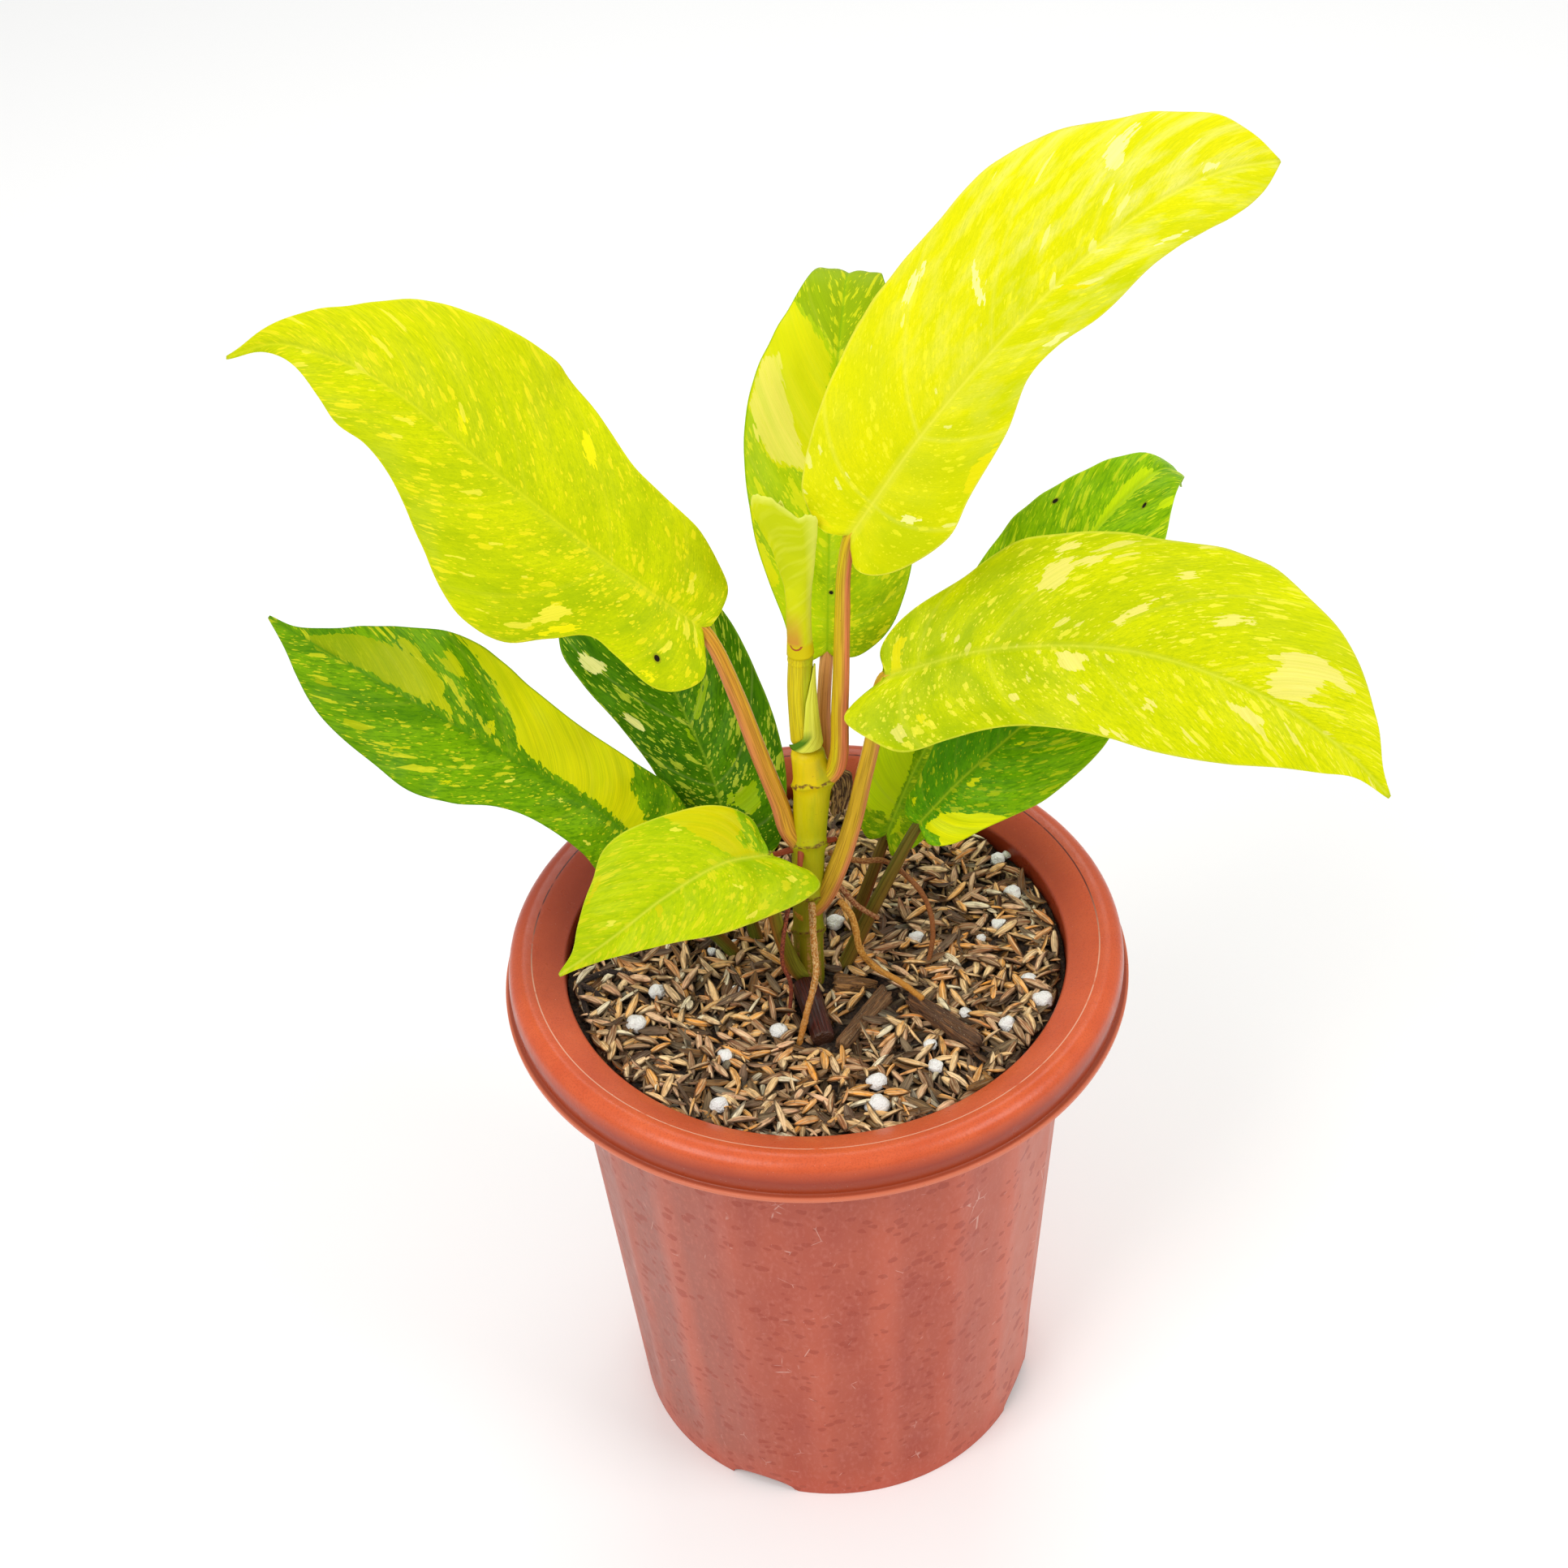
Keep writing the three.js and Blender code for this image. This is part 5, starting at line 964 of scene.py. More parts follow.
def stemSkin():
    # Green aroid stem: waxy skin, yellow where the sun reaches it, brown with age towards the soil,
    # with papery scars round its nodes
    finish, tree, shader, place = newFinish("waxy_stem_rind", 0.36, "stalkPlace", IOR=1.42,
                                            Specular_IOR_Level=0.2)
    body = bodyPlace(tree)
    side, front, _ = addNode(tree, "SeparateXYZ", {0: place}).outputs
    height = addNode(tree, "SeparateXYZ", {0: body}).outputs[2]
    for part, slope in zip((side, front), stemSet["tilt"]):
        height = addNode(tree, "Math", {0: part, 1: -slope, 2: height}, operation="MULTIPLY_ADD")
    waver = streaks(tree, body, (4, 4, 3), 0.2, 0.8, 2.4)
    height = addNode(tree, "Math", {0: height, 1: waver}, operation="ADD")
    height = addNode(tree, "Math", {0: height, 1: 1.2}, operation="SUBTRACT")
    zones = addNode(tree, "MapRange", {"Value": height, "From Min": 168.0, "From Max": 260.0})
    tones = addNode(tree, "ValToRGB", {0: zones})
    setTones(tones, stemSet["tones"])
    rings = 0.0
    for level in stemSet["nodes"]:
        ring = addNode(tree, "Math", {0: height, 1: level}, operation="SUBTRACT")
        ring = addNode(tree, "Math", {0: ring}, operation="ABSOLUTE")
        ring = addNode(tree, "MapRange", {"Value": ring, "From Min": 0.85, "From Max": 0.4})
        rings = addNode(tree, "Math", {0: rings, 1: ring}, operation="MAXIMUM")
    crumbs = streaks(tree, body, (1.2, 1.2, 0.8), 0.35, 0.6)
    scar = addNode(tree, "Math", {0: rings, 1: crumbs}, operation="MULTIPLY")
    shade = addNode(tree, "MapRange", {"Value": side, "From Min": 1.0, "From Max": 4.5, "To Max": 0.45})
    low = addNode(tree, "MapRange", {"Value": height, "From Min": 190.0, "From Max": 186.0, "To Max": 0.75})
    turn = addNode(tree, "Math", {0: front, 1: side}, operation="ARCTAN2")
    turn = addNode(tree, "Math", {0: turn, 1: 8.0}, operation="MULTIPLY")
    turn = addNode(tree, "Math", {0: turn}, operation="COSINE")
    rows = addNode(tree, "MapRange", {"Value": turn, "From Min": 0.2, "From Max": 0.8})
    low = addNode(tree, "Math", {0: low, 1: rows}, operation="MULTIPLY")
    bumps = streaks(tree, body, (1.1, 1.1, 0.7), 0.4, 0.55)
    lowBumps = addNode(tree, "Math", {0: low, 1: bumps}, operation="MULTIPLY")
    pegFrom = stemSet["pegShift"] / 2
    peg = addNode(tree, "MapRange", {"Value": side, "From Min": pegFrom, "From Max": pegFrom + 10})
    colour = paint(tree, tones.outputs[0],
                   ("#86a012", streaks(tree, body, (2.2, 2.2, 14), 0.45, 0.7, 0.35)),
                   ("#8fa416", shade), ("#c08a50", lowBumps),
                   ("#8a5a1c", streaks(tree, body, (0.7, 0.7, 0.7), 0.7, 0.74, 0.6)),
                   ("#6e4a22", scar), ("#a04a2a", peg))
    dress(tree, shader, colour, streaks(tree, body, (0.4, 0.4, 9), 0.3, 0.7), 0.25, 0.0002)
    return finish


roots = {  # path and radius of the solid, then the colours of its skin and cork, and how coarse it is
    "front": ([(-0.2, -11.6, 205.8), (-0.3, -16.8, 198), (-0.2, -22.5, 188.5), (-3.4, -29, 179.4),
               (-6.4, -33.6, 170)], 0.95, "#b9741c", "#e0b878", 0.1),
    "right": ([(7.4, -9.4, 204), (10.8, -12, 199.5), (12.7, -13.5, 188), (16.4, -12.6, 180.6),
               (23.4, -17.2, 178.4), (29.6, -24.2, 178)], 0.95, "#bb7a1e", "#d6a24c", 0.06),
    "short": ([(7.6, -6, 206.4), (12, -6.6, 199.4), (18.4, -4.6, 191.4)], 0.8, "#8a4a22", "#b98a58", 0.05),
    "far_right": ([(5.4, -1.4, 214.6), (14, 5.8, 204.4), (21.4, 7.6, 202), (31.6, 3.6, 192),
                   (34, -0.6, 181.4), (31.4, -5.4, 169)], 0.8, "#8f5220", "#b98046", 0.06),
    "thin": ([(-6.4, -10.4, 205.6), (-8.6, -17, 198), (-9.3, -19.2, 190), (-7.4, -20.4, 183),
              (-8.9, -23.4, 169)], 0.6, "#6e2a14", "#a5502c", 0.06),
}


def rootSkin(name, skin, cork):
    # Aerial root skin: dry spongy velamen with grains of cork, so it is dull and finely pitted
    finish, tree, shader, place = newFinish(name, 0.68, "stalkPlace")
    grains = streaks(tree, place, (0.5, 0.5, 0.55), 0.42, 0.6)
    along = addNode(tree, "SeparateXYZ", {0: place}).outputs[2]
    upper = addNode(tree, "MapRange", {"Value": along, "From Min": 34.0, "From Max": 18.0, "To Min": 0.25})
    corky = addNode(tree, "Math", {0: grains, 1: upper}, operation="MULTIPLY")
    colour = paint(tree, skin, (cork, corky),
                   ("#4a2410", streaks(tree, place, (0.8, 0.8, 7), 0.55, 0.75, 0.55)))
    dress(tree, shader, colour, grains, 0.6, 0.0002)
    return finish


def makeRoots():
    for number, (name, (path, radius, skin, cork, coarse)) in enumerate(roots.items()):
        def radiusAt(s, a):
            spots = np.stack([1.3 * np.cos(a), 1.3 * np.sin(a), 60 * s], -1)
            return radius * (1.08 - 0.2 * s) * (1 + coarse * softNoise(spots, 1.4, number)
                                                + 0.06 * softNoise(spots, 6, number + 9))

        finish = rootSkin(f"corky_root_velamen_{name}", skin, cork)
        makeTubes(f"root_skin_{name}", [tube(path, radiusAt, 18, 200)], finish,
                  [f"root_{name}"])


# The new leaf

spearSet = {
    "path": [(0.5, -5.5, 257.9), (0.1, -5.4, 266), (-0.1, -5.2, 277), (0.3, -5, 286.5), (0.6, -5.2, 296)],
    "radii": [4, 3.7, 3.5, 3.2, 0.8], "joint": 28,
    "rind": ("#d2be0c", "#dccb18", "#a4b012", (0.0, 1.2), "#a3920c", "#d0b60e"),
    "axis": [(0.25, -5, 287.8), (0.24, -5, 293), (0.26, -5, 298.2), (0.44, -5.2, 303.7), (0.55, -5.4, 309),
             (0.36, -5.7, 314.4), (-0.12, -5.9, 319.8), (-1.18, -6.1, 325.2), (-1.95, -6.2, 331)],
    "widths": [3.75, 3.4, 3.4, 3.45, 3.75, 4.7, 5.75, 7.35, 8.35],
    "turns": 1.2, "firstTurn": 0.15, "layerStep": 0.65, "flatness": (0.97, 0.26), "backDrop": 3.9,
    "thickness": 0.45, "steps": (84, 150),
    "turnSpan": 14, "length": 45,  # what a turn and the whole blade measure
    # how far the lip stands over the axis end, from its left side to its right
    "lip": ((-1, -0.95, -0.76, -0.36, -0.11, 0.08, 0.2, 0.47, 0.71, 0.98, 1),
            (5.5, 7.5, 8.4, 7.4, 5.5, 4.3, 3, 0.7, 1.7, 0.4, -0.6)),
    # thin red arc on the front of the blade's foot: part of an ellipse, which shift and squeeze make a circle
    # of radius 1, with the half width of its line and the share of the blade where it ends
    "arc": {"shift": (-6.95, 0.0, -3.0), "squeeze": (0.9, 0.0, 28.6), "line": 0.17, "top": 0.095},
}
sheathSet = {
    "rows": (0, 0.1, 0.18, 0.62, 0.84, 1),
    "front": (-3.0, -2.2, -1.65, -1.27, -0.85, -0.45),  # the angle of each edge round the stalk at those rows
    "back": (1.5, 1.36, 1.25, 0.63, 0.32, 0.1), "reach": 0.9, "thickness": 0.5, "clear": 0.45, "steps": 60,
}


def makeNewLeaf():
    path, radii = spearSet["path"], spearSet["radii"]
    length = smoothCurve(path)[1][-1]
    solid = smoothCurve(path[:-1])[1][-1] / length

    def radiusAt(s, a):
        radius = between(radii[:-1], s / solid)
        joint = 0.22 * np.exp(-((s * length - spearSet["joint"]) / 0.5) ** 2)
        radius = radius + (radii[-1] - radius) * ramp(s, solid, 1) + joint
        return radius * (1 + 0.012 * np.cos(7 * a))

    finish = stalkSkin("new_leaf_petiole_rind", *spearSet["rind"])
    makeTubes("spear_stalk", [tube(path, radiusAt, 40, 110)], finish, ["new_leaf_petiole"])
    makeSpear()
    makeSheath()


def makeSpear():
    # rolled blade: angle 2 pi (wound + first turn) round the axis, closer in by one layer for each turn
    rows, columns = spearSet["steps"]
    axis, turns = smoothCurve(spearSet["axis"]), spearSet["turns"]
    share, wound = np.meshgrid(np.linspace(0, 1, rows), np.linspace(0, turns, columns), indexing="ij")
    angle = 2 * math.pi * (wound + spearSet["firstTurn"])
    radius = between(spearSet["widths"], share) - spearSet["layerStep"] * (turns - wound)
    radius = radius + 0.2 * share ** 2 * softNoise(np.stack([9 * wound, 5 * share], -1), 2.4, 5)
    lip = np.interp(np.cos(angle), *spearSet["lip"]) - spearSet["backDrop"] * ramp(np.sin(angle), -0.15, 0.5)
    corner = 2.4 * np.exp(-((np.cos(angle) + 0.05) / 0.09) ** 2) * (np.sin(angle) > 0)
    lift = share ** 4 * (lip + corner + 0.15 * np.sin(9 * angle) + 0.1 * np.sin(23 * angle + 1))
    atFoot, atLip = spearSet["flatness"]
    squash = atFoot + (atLip - atFoot) * share ** 0.8
    middle = onCurve(axis, share)
    middle = middle + np.stack([radius * np.cos(angle), squash * radius * np.sin(angle), lift], -1)
    normal = gridNormals(middle) * (spearSet["thickness"] / 2)
    vertices, faces = closedSheet(middle + normal, middle - normal)
    place = np.stack([spearSet["turnSpan"] * wound, spearSet["length"] * share, share], -1)
    makePiece("spear_blade", vertices, faces, spearSkin(), ["new_leaf_spear"],
              {"spearPlace": sheetAttribute(place)})


def makeSheath():
    # sheet round the stalk between the angles of its two edges, thinner towards them
    steps, path = sheathSet["steps"], spearSet["path"]
    rows, across = np.meshgrid(np.linspace(0, 1, steps), np.linspace(-1, 1, steps), indexing="ij")
    share = 0.01 + sheathSet["reach"] * rows
    frontEdge, backEdge = (np.interp(rows, sheathSet["rows"], sheathSet[edge]) for edge in ("front", "back"))
    angle = (across + 1) / 2 * (backEdge - frontEdge) + frontEdge
    centre = onCurve(smoothCurve(path[:-1]), share)
    radius = between(spearSet["radii"][:-1], share) + sheathSet["clear"] + 0.04 * np.sin(22 * across)
    middle = centre + np.stack([radius * np.cos(angle), radius * np.sin(angle), np.zeros_like(angle)], -1)
    outward = unit(middle - centre) * sheathSet["thickness"] / 2 * (1 - 0.7 * np.abs(across) ** 6)[..., None]
    vertices, faces = closedSheet(middle + outward, middle - outward)
    place = np.stack([across * 8, rows * 30, across], -1)
    makePiece("sheath_skin", vertices, faces, sheathSkin(), ["new_leaf_sheath"],
              {"sheathPlace": sheetAttribute(place)})


def sheathSkin():
    # Young leaf sheath: thin translucent tissue over parallel veins, so it is pale and finely lined
    finish, tree, shader, place = newFinish("thin_young_sheath", 0.42, "sheathPlace", IOR=1.42,
                                            Specular_IOR_Level=0.15)
    across, along, _ = addNode(tree, "SeparateXYZ", {0: place}).outputs
    edge = addNode(tree, "MapRange", {"Value": across, "From Min": -4.4, "From Max": -5.8})
    foot = addNode(tree, "MapRange", {"Value": along, "From Min": 8.5, "From Max": 4.0})
    patch = addNode(tree, "Math", {0: edge, 1: foot}, operation="MULTIPLY")
    lines = streaks(tree, place, (0.45, 30, 1), 0.4, 0.62, 0.3)
    colour = paint(tree, "#e0e04e", ("#cacc24", lines),
                   ("#c0c416", streaks(tree, place, (2.5, 26, 1), 0.5, 0.7, 0.4)), ("#4f7a0c", patch))
    dress(tree, shader, colour, lines, 0.5, 0.0002)
    return finish


def spearSkin():
    # Leaf still rolled up: soft young tissue, pale and matt-waxy, with the side veins showing through
    finish, tree, shader, place = newFinish("soft_rolled_young_blade", 0.42, "spearPlace", IOR=1.42,
                                            Specular_IOR_Level=0.08)
    wound, _, share = addNode(tree, "SeparateXYZ", {0: place}).outputs
    turn = spearSet["turnSpan"]
    bands = {  # along what each one shows, where it starts and is full, and how far it shows there
        "low": (share, 0.5, 0.14, 0.5), "foot": (share, 0.36, 0.12, 0.8), "below": (share, 0.11, 0.08, 1),
        "lip": (share, 0.965, 1.0, 0.6), "front": (wound, 0.34 * turn, 0.42 * turn, 1),
        "back": (wound, 0.68 * turn, 0.58 * turn, 1), "rolled": (wound, 0.69 * turn, 0.78 * turn, 0.55),
    }
    bands = {name: addNode(tree, "MapRange", {"Value": value, "From Min": start, "From Max": full,
                                              "To Max": most})
             for name, (value, start, full, most) in bands.items()}
    foot = addNode(tree, "Math", {0: bands["foot"], 1: bands["front"]}, operation="MULTIPLY")
    foot = addNode(tree, "Math", {0: foot, 1: bands["back"]}, operation="MULTIPLY")
    arc = addNode(tree, "Mapping", {"Vector": place, "Location": spearSet["arc"]["shift"],
                                    "Scale": spearSet["arc"]["squeeze"]})
    away = addNode(tree, "VectorMath", {0: arc}, operation="LENGTH").outputs["Value"]
    ring = addNode(tree, "Math", {0: away, 1: 1.0, 2: spearSet["arc"]["line"]}, operation="COMPARE")
    lower = addNode(tree, "Math", {0: share, 1: spearSet["arc"]["top"]}, operation="LESS_THAN")
    ring = addNode(tree, "Math", {0: ring, 1: lower}, operation="MULTIPLY")
    slanted = addNode(tree, "Mapping", {"Vector": place, "Rotation": (0.0, 0.0, 0.6)})
    veins = streaks(tree, slanted, (1.0, 14, 1), 0.5, 0.66, 0.3)
    # painted highlight: the rolled band lightens the outer rolled layer on the right
    colour = paint(tree, "#d2d80e", ("#bcc80a", streaks(tree, place, (6, 12, 6), 0.4, 0.6, 0.8)),
                   ("#e2e448", veins), ("#e6ea6a", bands["rolled"]), ("#eaec70", bands["lip"]),
                   ("#c6c00a", bands["low"]), ("#cc8038", foot), ("#cebc0c", bands["below"]),
                   ("#a5502a", ring))
    dress(tree, shader, colour, veins, 0.4, 0.0003)
    return finish


bractSet = {
    "spine": [(7.4, -3.4, 246.2), (9.6, -2.4, 241), (9.4, -1.4, 235), (8.4, -1, 229.4)],
    "pleat": 0.55, "pleats": 9, "thickness": 0.45,
}


def makeBract():
    # pleated sheet along its spine: half width 1.6 + 2.2 sin, with folds that deepen towards its end
    share, across = np.meshgrid(np.linspace(0, 1, 50), np.linspace(-1, 1, 74), indexing="ij")
    half = 1.6 + 2.2 * np.sin(math.pi * (0.15 + 0.75 * share))
    half = half + 0.35 * softNoise(np.stack([4 * share, np.sign(across)], -1), 1.2, 8)
    fold = bractSet["pleat"] * (0.3 + 0.7 * share) * np.sin(math.pi * bractSet["pleats"] * across + 2 * share)
    middle = onCurve(smoothCurve(bractSet["spine"]), share)
    middle = middle + np.stack([half * across * 0.75 + fold * 0.5, half * across * 0.6 - fold,
                                0.7 * share ** 3 * np.sin(11 * across)], -1)
    normal = gridNormals(middle) * bractSet["thickness"] / 2
    vertices, faces = closedSheet(middle + normal, middle - normal)
    place = sheetAttribute(np.stack([across * 5, share * 18, across], -1))
    # Dead leaf sheath: dry papery tissue, brown in its folds and paler on their ridges
    finish, tree, shader, spot = newFinish("dry_papery_sheath", 0.75, "bractPlace")
    lines = streaks(tree, spot, (0.35, 9, 1), 0.46, 0.56, detail=3.0)
    colour = paint(tree, "#5a3c22", ("#b08e58", lines),
                   ("#2e1a0e", streaks(tree, spot, (0.8, 3, 1), 0.5, 0.6, 0.85)))
    dress(tree, shader, colour, lines, 0.6, 0.0003)
    makePiece("bract_skin", vertices, faces, finish, ["dry_bract"], {"bractPlace": place})


# Bits lying on the soil

stubSet = {"path": [(-3.4, -12.6, 174.6), (-1.4, -22, 174.4), (1, -33.6, 173.4)], "radius": 3.6}
chipSet = {
    "underside": 170.6, "roundedEnd": 0.8,
    "chips": {  # corners of one end, then of the other, top and colour
        "long": ((27.5, -17.8), (24.5, -20.8), (42, -42.1), (46.3, -36.8), 176.4, "#5c3e28"),
        "short": ((18.1, -12.8), (21.5, -18.6), (7, -37.6), (3.9, -34.4), 174.9, "#7c5a38"),
        "flake": ((5.6, -6.4), (4.2, -14.6), (16.8, -12.3), (17.1, -11.5), 174.4, "#a0713c"),
    },
}
twigSet = {
    "arms": [[(-69, -4.4, 172.6), (-60, -3, 174.4), (-50.4, -2.6, 172.2)],
             [(-68.6, -4.8, 172.6), (-63.6, -10.4, 174), (-57.8, -16.2, 172)],
             [(-68.8, -5, 172.6), (-66.6, -14, 173.6), (-63.4, -24, 171.8)]],
    "radius": 0.9,
}


def fibreSkin(name, skin, ridge, groove, sizes, roughness):
    finish, tree, shader, place = newFinish(name, roughness, "stalkPlace")
    fibres = streaks(tree, place, sizes, 0.42, 0.6, detail=4.0)
    ridges = addNode(tree, "Math", {0: fibres, 1: 0.8}, operation="MULTIPLY")
    colour = paint(tree, skin, (ridge, ridges),
                   (groove, streaks(tree, place, sizes, 0.56, 0.68, 0.85, 3.0, 4.7)),
                   ("#cbb290", streaks(tree, place, (0.45, 0.45, 0.5), 0.68, 0.72, 0.7)))
    dress(tree, shader, colour, fibres, 1.0, 0.0008)
    return finish


def makeStub():
    # Old stem rind: dead and dark, still glossy over lengthwise grooves, with a torn fibrous end
    finish, tree, shader, place = newFinish("dead_stem_rind", 0.3, "stalkPlace")
    along = addNode(tree, "SeparateXYZ", {0: place}).outputs[2]
    cut = addNode(tree, "MapRange", {"Value": along, "From Min": 20.6, "From Max": 21.1})
    fine = streaks(tree, place, (0.6, 0.6, 24), 0.45, 0.62)
    crumbs = streaks(tree, place, (0.4, 0.4, 0.6), 0.7, 0.74, 0.6)
    dress(tree, shader, paint(tree, "#34110e", ("#521e16", fine), ("#8a6a4a", crumbs), ("#45281a", cut)),
          fine, 0.6, 0.0004)

    def radiusAt(s, a):
        spots = np.stack([np.cos(a), np.sin(a), 0.5 * s], -1)
        return stubSet["radius"] * (1 + 0.035 * np.cos(8 * a + 1) + 0.02 * np.cos(13 * a) - 0.16 * s
                                    + 0.03 * softNoise(spots, 2, 4))

    makeTubes("stub_rind", [tube(stubSet["path"], radiusAt, 56, 80, (0, 0, 1), blunt=0.1)], finish,
              ["old_stem_stub"])


def squared(value):
    # turns a circle's cosine or sine into those of a superellipse, nearly a rectangle
    return np.sign(value) * np.abs(value) ** 0.45


def makeChips():
    # A chip is a ring of superellipses between the corners of its ends, roughened along its fibres
    for number, (name, (*corners, top, tint)) in enumerate(chipSet["chips"].items()):
        a, b, c, d = (np.array(corner) for corner in corners)
        along, angle = np.meshgrid(np.linspace(0, 1, 90), np.arange(72) / 72 * 2 * math.pi, indexing="ij")
        across, rise = squared(np.cos(angle)), squared(np.sin(angle))
        lane = (c + d - a - b) / 2
        size = np.linalg.norm(lane)
        first, last = (1 - along[..., None]), along[..., None]
        ground = (a + b) / 2 * first + (c + d) / 2 * last
        half = (a - b) / 2 * first + (d - c) / 2 * last
        spots = np.stack([across * np.linalg.norm(half, axis=-1), rise * 2, along * size], -1)
        fibres = softNoise(spots * (1, 1, 0.12), 1.1, 30 + number) * 0.12
        fibres = fibres + softNoise(spots * (1, 1, 0.3), 3, 40) * 0.16
        ragged = 0.9 * softNoise(spots[..., :2], 1.3, 50 + number) * (np.abs(2 * along - 1) ** 8)
        flat = ground + half * (across * (0.95 + 0.12 * fibres))[..., None] + unit(lane) * ragged[..., None]
        thick = (top - chipSet["underside"]) * (0.5 + 0.5 * rise)
        height = chipSet["underside"] + thick * (0.88 + 0.1 * (1 - across ** 2) + 0.35 * fibres * (rise > 0))
        points = np.concatenate([flat, height[..., None]], -1)
        nearEnd = np.minimum(along, 1 - along) * size / chipSet["roundedEnd"]
        ease = np.sqrt(np.clip(1 - (1 - nearEnd).clip(0, 1) ** 2, 0.05, 1))
        middle = points.mean(1, keepdims=True)
        points = middle + (points - middle) * (0.55 + 0.45 * ease[..., None])
        vertices, faces = closedRings(points)
        # Weathered conifer bark: dead cork in long fibres, dull, with crumbs of soil on it
        finish = fibreSkin(f"weathered_bark_{name}", tint, "#8a5c34", "#1e100a", (0.45, 0.8, 7), 0.8)
        makePiece(f"chip_{name}", vertices, faces, finish, [f"bark_{name}"],
                  {"stalkPlace": ringAttribute(spots)})


def makeTwig():
    def radiusAt(s, a):
        spots = np.stack([np.cos(a), np.sin(a), 12 * s], -1)
        return twigSet["radius"] * (1.1 - 0.35 * s) * (1 + 0.22 * softNoise(spots, 2.2, 6))

    # Rotted twig: black, soft and crumbling
    finish = fibreSkin("rotted_twig", "#2a1c16", "#4a3424", "#120c09", (0.5, 0.5, 4), 0.85)
    makeTubes("twig_bark", [tube(path, radiusAt, 16, 70, (0, 0, 1)) for path in twigSet["arms"]], finish,
              ["black_twig"])


# Soil, rice hulls and perlite

bedSet = {
    "top": 171.2, "rounds": 190, "rings": 74, "bump": 0.7, "reach": 71.7,
    "side": ((71.75, 168), (60.95, 9), (59.9, 8), (0.4, 8)),  # radius and height, down to the pot's floor
}
huskSet = {
    "seed": 11, "layers": ((1450, 171.6), (1100, 172.7), (800, 173.7)), "reach": 71.2, "wall": 71.9,
    "keepOff": (((-1.9, -6.5), (-1.9, -6.6), 4.6), ((-2.6, -15), (1, -33.2), 3.4)),  # stem and old stem
    "length": (8.4, 11.6), "width": (2.1, 3.1), "height": (1, 1.7), "stations": (0.1, 0.28, 0.5, 0.72, 0.9),
    "needles": 0.22, "bits": 0.16,
    "tones": ("#8f5c38", "#ffd6a0", "#ee9f52", "#ffc070", "#b47448", "#ffb14f", "#fff0cc", "#e08c40",
              "#dca67c", "#ffcc8a", "#a0683e", "#ffa83f", "#ffd090", "#f4bc90"),
}
grainSet = {
    "places": (  # across, towards the back, and radius
        (14.8, -50.2, 2.9), (14.6, -58.8, 3.3), (31.4, -45.4, 2.2), (52.6, -30.6, 2.6), (60.3, -13.6, 2.4),
        (63.4, -22.2, 3), (56, 38, 2.3), (59, 22.9, 2.6), (54, 9.6, 2.3), (29.6, 6.4, 2.2), (6.2, 14.4, 2.8),
        (-45.7, -10.5, 2.6), (-51.6, -22.8, 2.9), (-26.7, -37.2, 2.4), (-11.6, -28.6, 2.6),
        (-28.5, -55.7, 2.5), (41.2, -25.3, 1.9), (48.4, 5, 1.4), (59, 40.2, 1.5), (-30, 5.3, 1.5),
        (-23.4, 8.6, 1.3), (-23.2, -10.9, 1.4), (30.5, -37.1, 2)),
}


def makeBed():
    # level heap: rings from the middle out, down its side and back under to the middle
    rings, top = bedSet["rings"], bedSet["top"]
    out, level = np.array([(spot, top) for spot in np.linspace(0.4, bedSet["reach"], rings)]
                          + [*bedSet["side"]]).T
    turns = np.arange(bedSet["rounds"]) / bedSet["rounds"]
    radius, angle = np.meshgrid(out, turns * 2 * math.pi, indexing="ij")
    height = np.broadcast_to(level[:, None], radius.shape)
    flat = np.stack([radius * np.cos(angle), radius * np.sin(angle)], -1)
    bumps = bedSet["bump"] * (softNoise(flat, 7, 1) + 0.5 * softNoise(flat, 2.5, 2))
    height = height + np.where(height == top, bumps, 0)
    vertices, faces = closedRings(np.concatenate([flat, height[..., None]], -1))
    # Damp peat under the hulls: black-brown crumbs that take nearly all light
    finish, tree, shader, body = newFinish("damp_peat", 0.9, "body")
    crumbs = streaks(tree, body, (1, 1, 1), 0.4, 0.65, detail=4.0)
    dress(tree, shader, paint(tree, "#20150e", ("#4a3424", crumbs)), crumbs, 0.7, 0.0006)
    makePiece("peat_bed", vertices, faces, finish, ["soil"])


def clearOf(flat, room):
    # which places keep their distance from the stems, the chips and the grains
    def gapTo(a, b):
        a, b = np.array(a, float), np.array(b, float)
        share = np.clip((flat - a) @ (b - a) / ((b - a) @ (b - a)), 0, 1)
        return np.linalg.norm(flat - a - share[:, None] * (b - a), axis=1)

    strips = [*huskSet["keepOff"]]
    for a, b, c, d, *_ in chipSet["chips"].values():
        width = (np.linalg.norm(np.subtract(a, b)) + np.linalg.norm(np.subtract(c, d))) / 4
        strips.append(((np.array(a) + b) / 2, (np.array(c) + d) / 2, width))
    for x, y, radius in grainSet["places"]:
        strips.append(((x, y), (x + 0.01, y), radius * 0.75))
    return np.all([gapTo(start, end) > width + room for start, end, width in strips], axis=0)


def huskShape():
    # a hull is a boat: its width at share s of the length is sin(pi s^0.85)^0.75, its section a crescent
    share = np.array(huskSet["stations"])
    width = np.sin(math.pi * share ** 0.85) ** 0.75
    section = np.array([(-1, 0), (-0.62, 0.7), (0, 1), (0.62, 0.7), (1, 0), (0, 0.3)])
    rings = np.stack([np.broadcast_to((share - 0.5)[:, None], (len(share), len(section))),
                      width[:, None] * section[:, 0], width[:, None] * section[:, 1]], -1)
    shape, faces = closedRings(rings)
    shape[-2:] = (-0.5, 0, 0.05), (0.5, 0, 0.05)
    return shape, faces


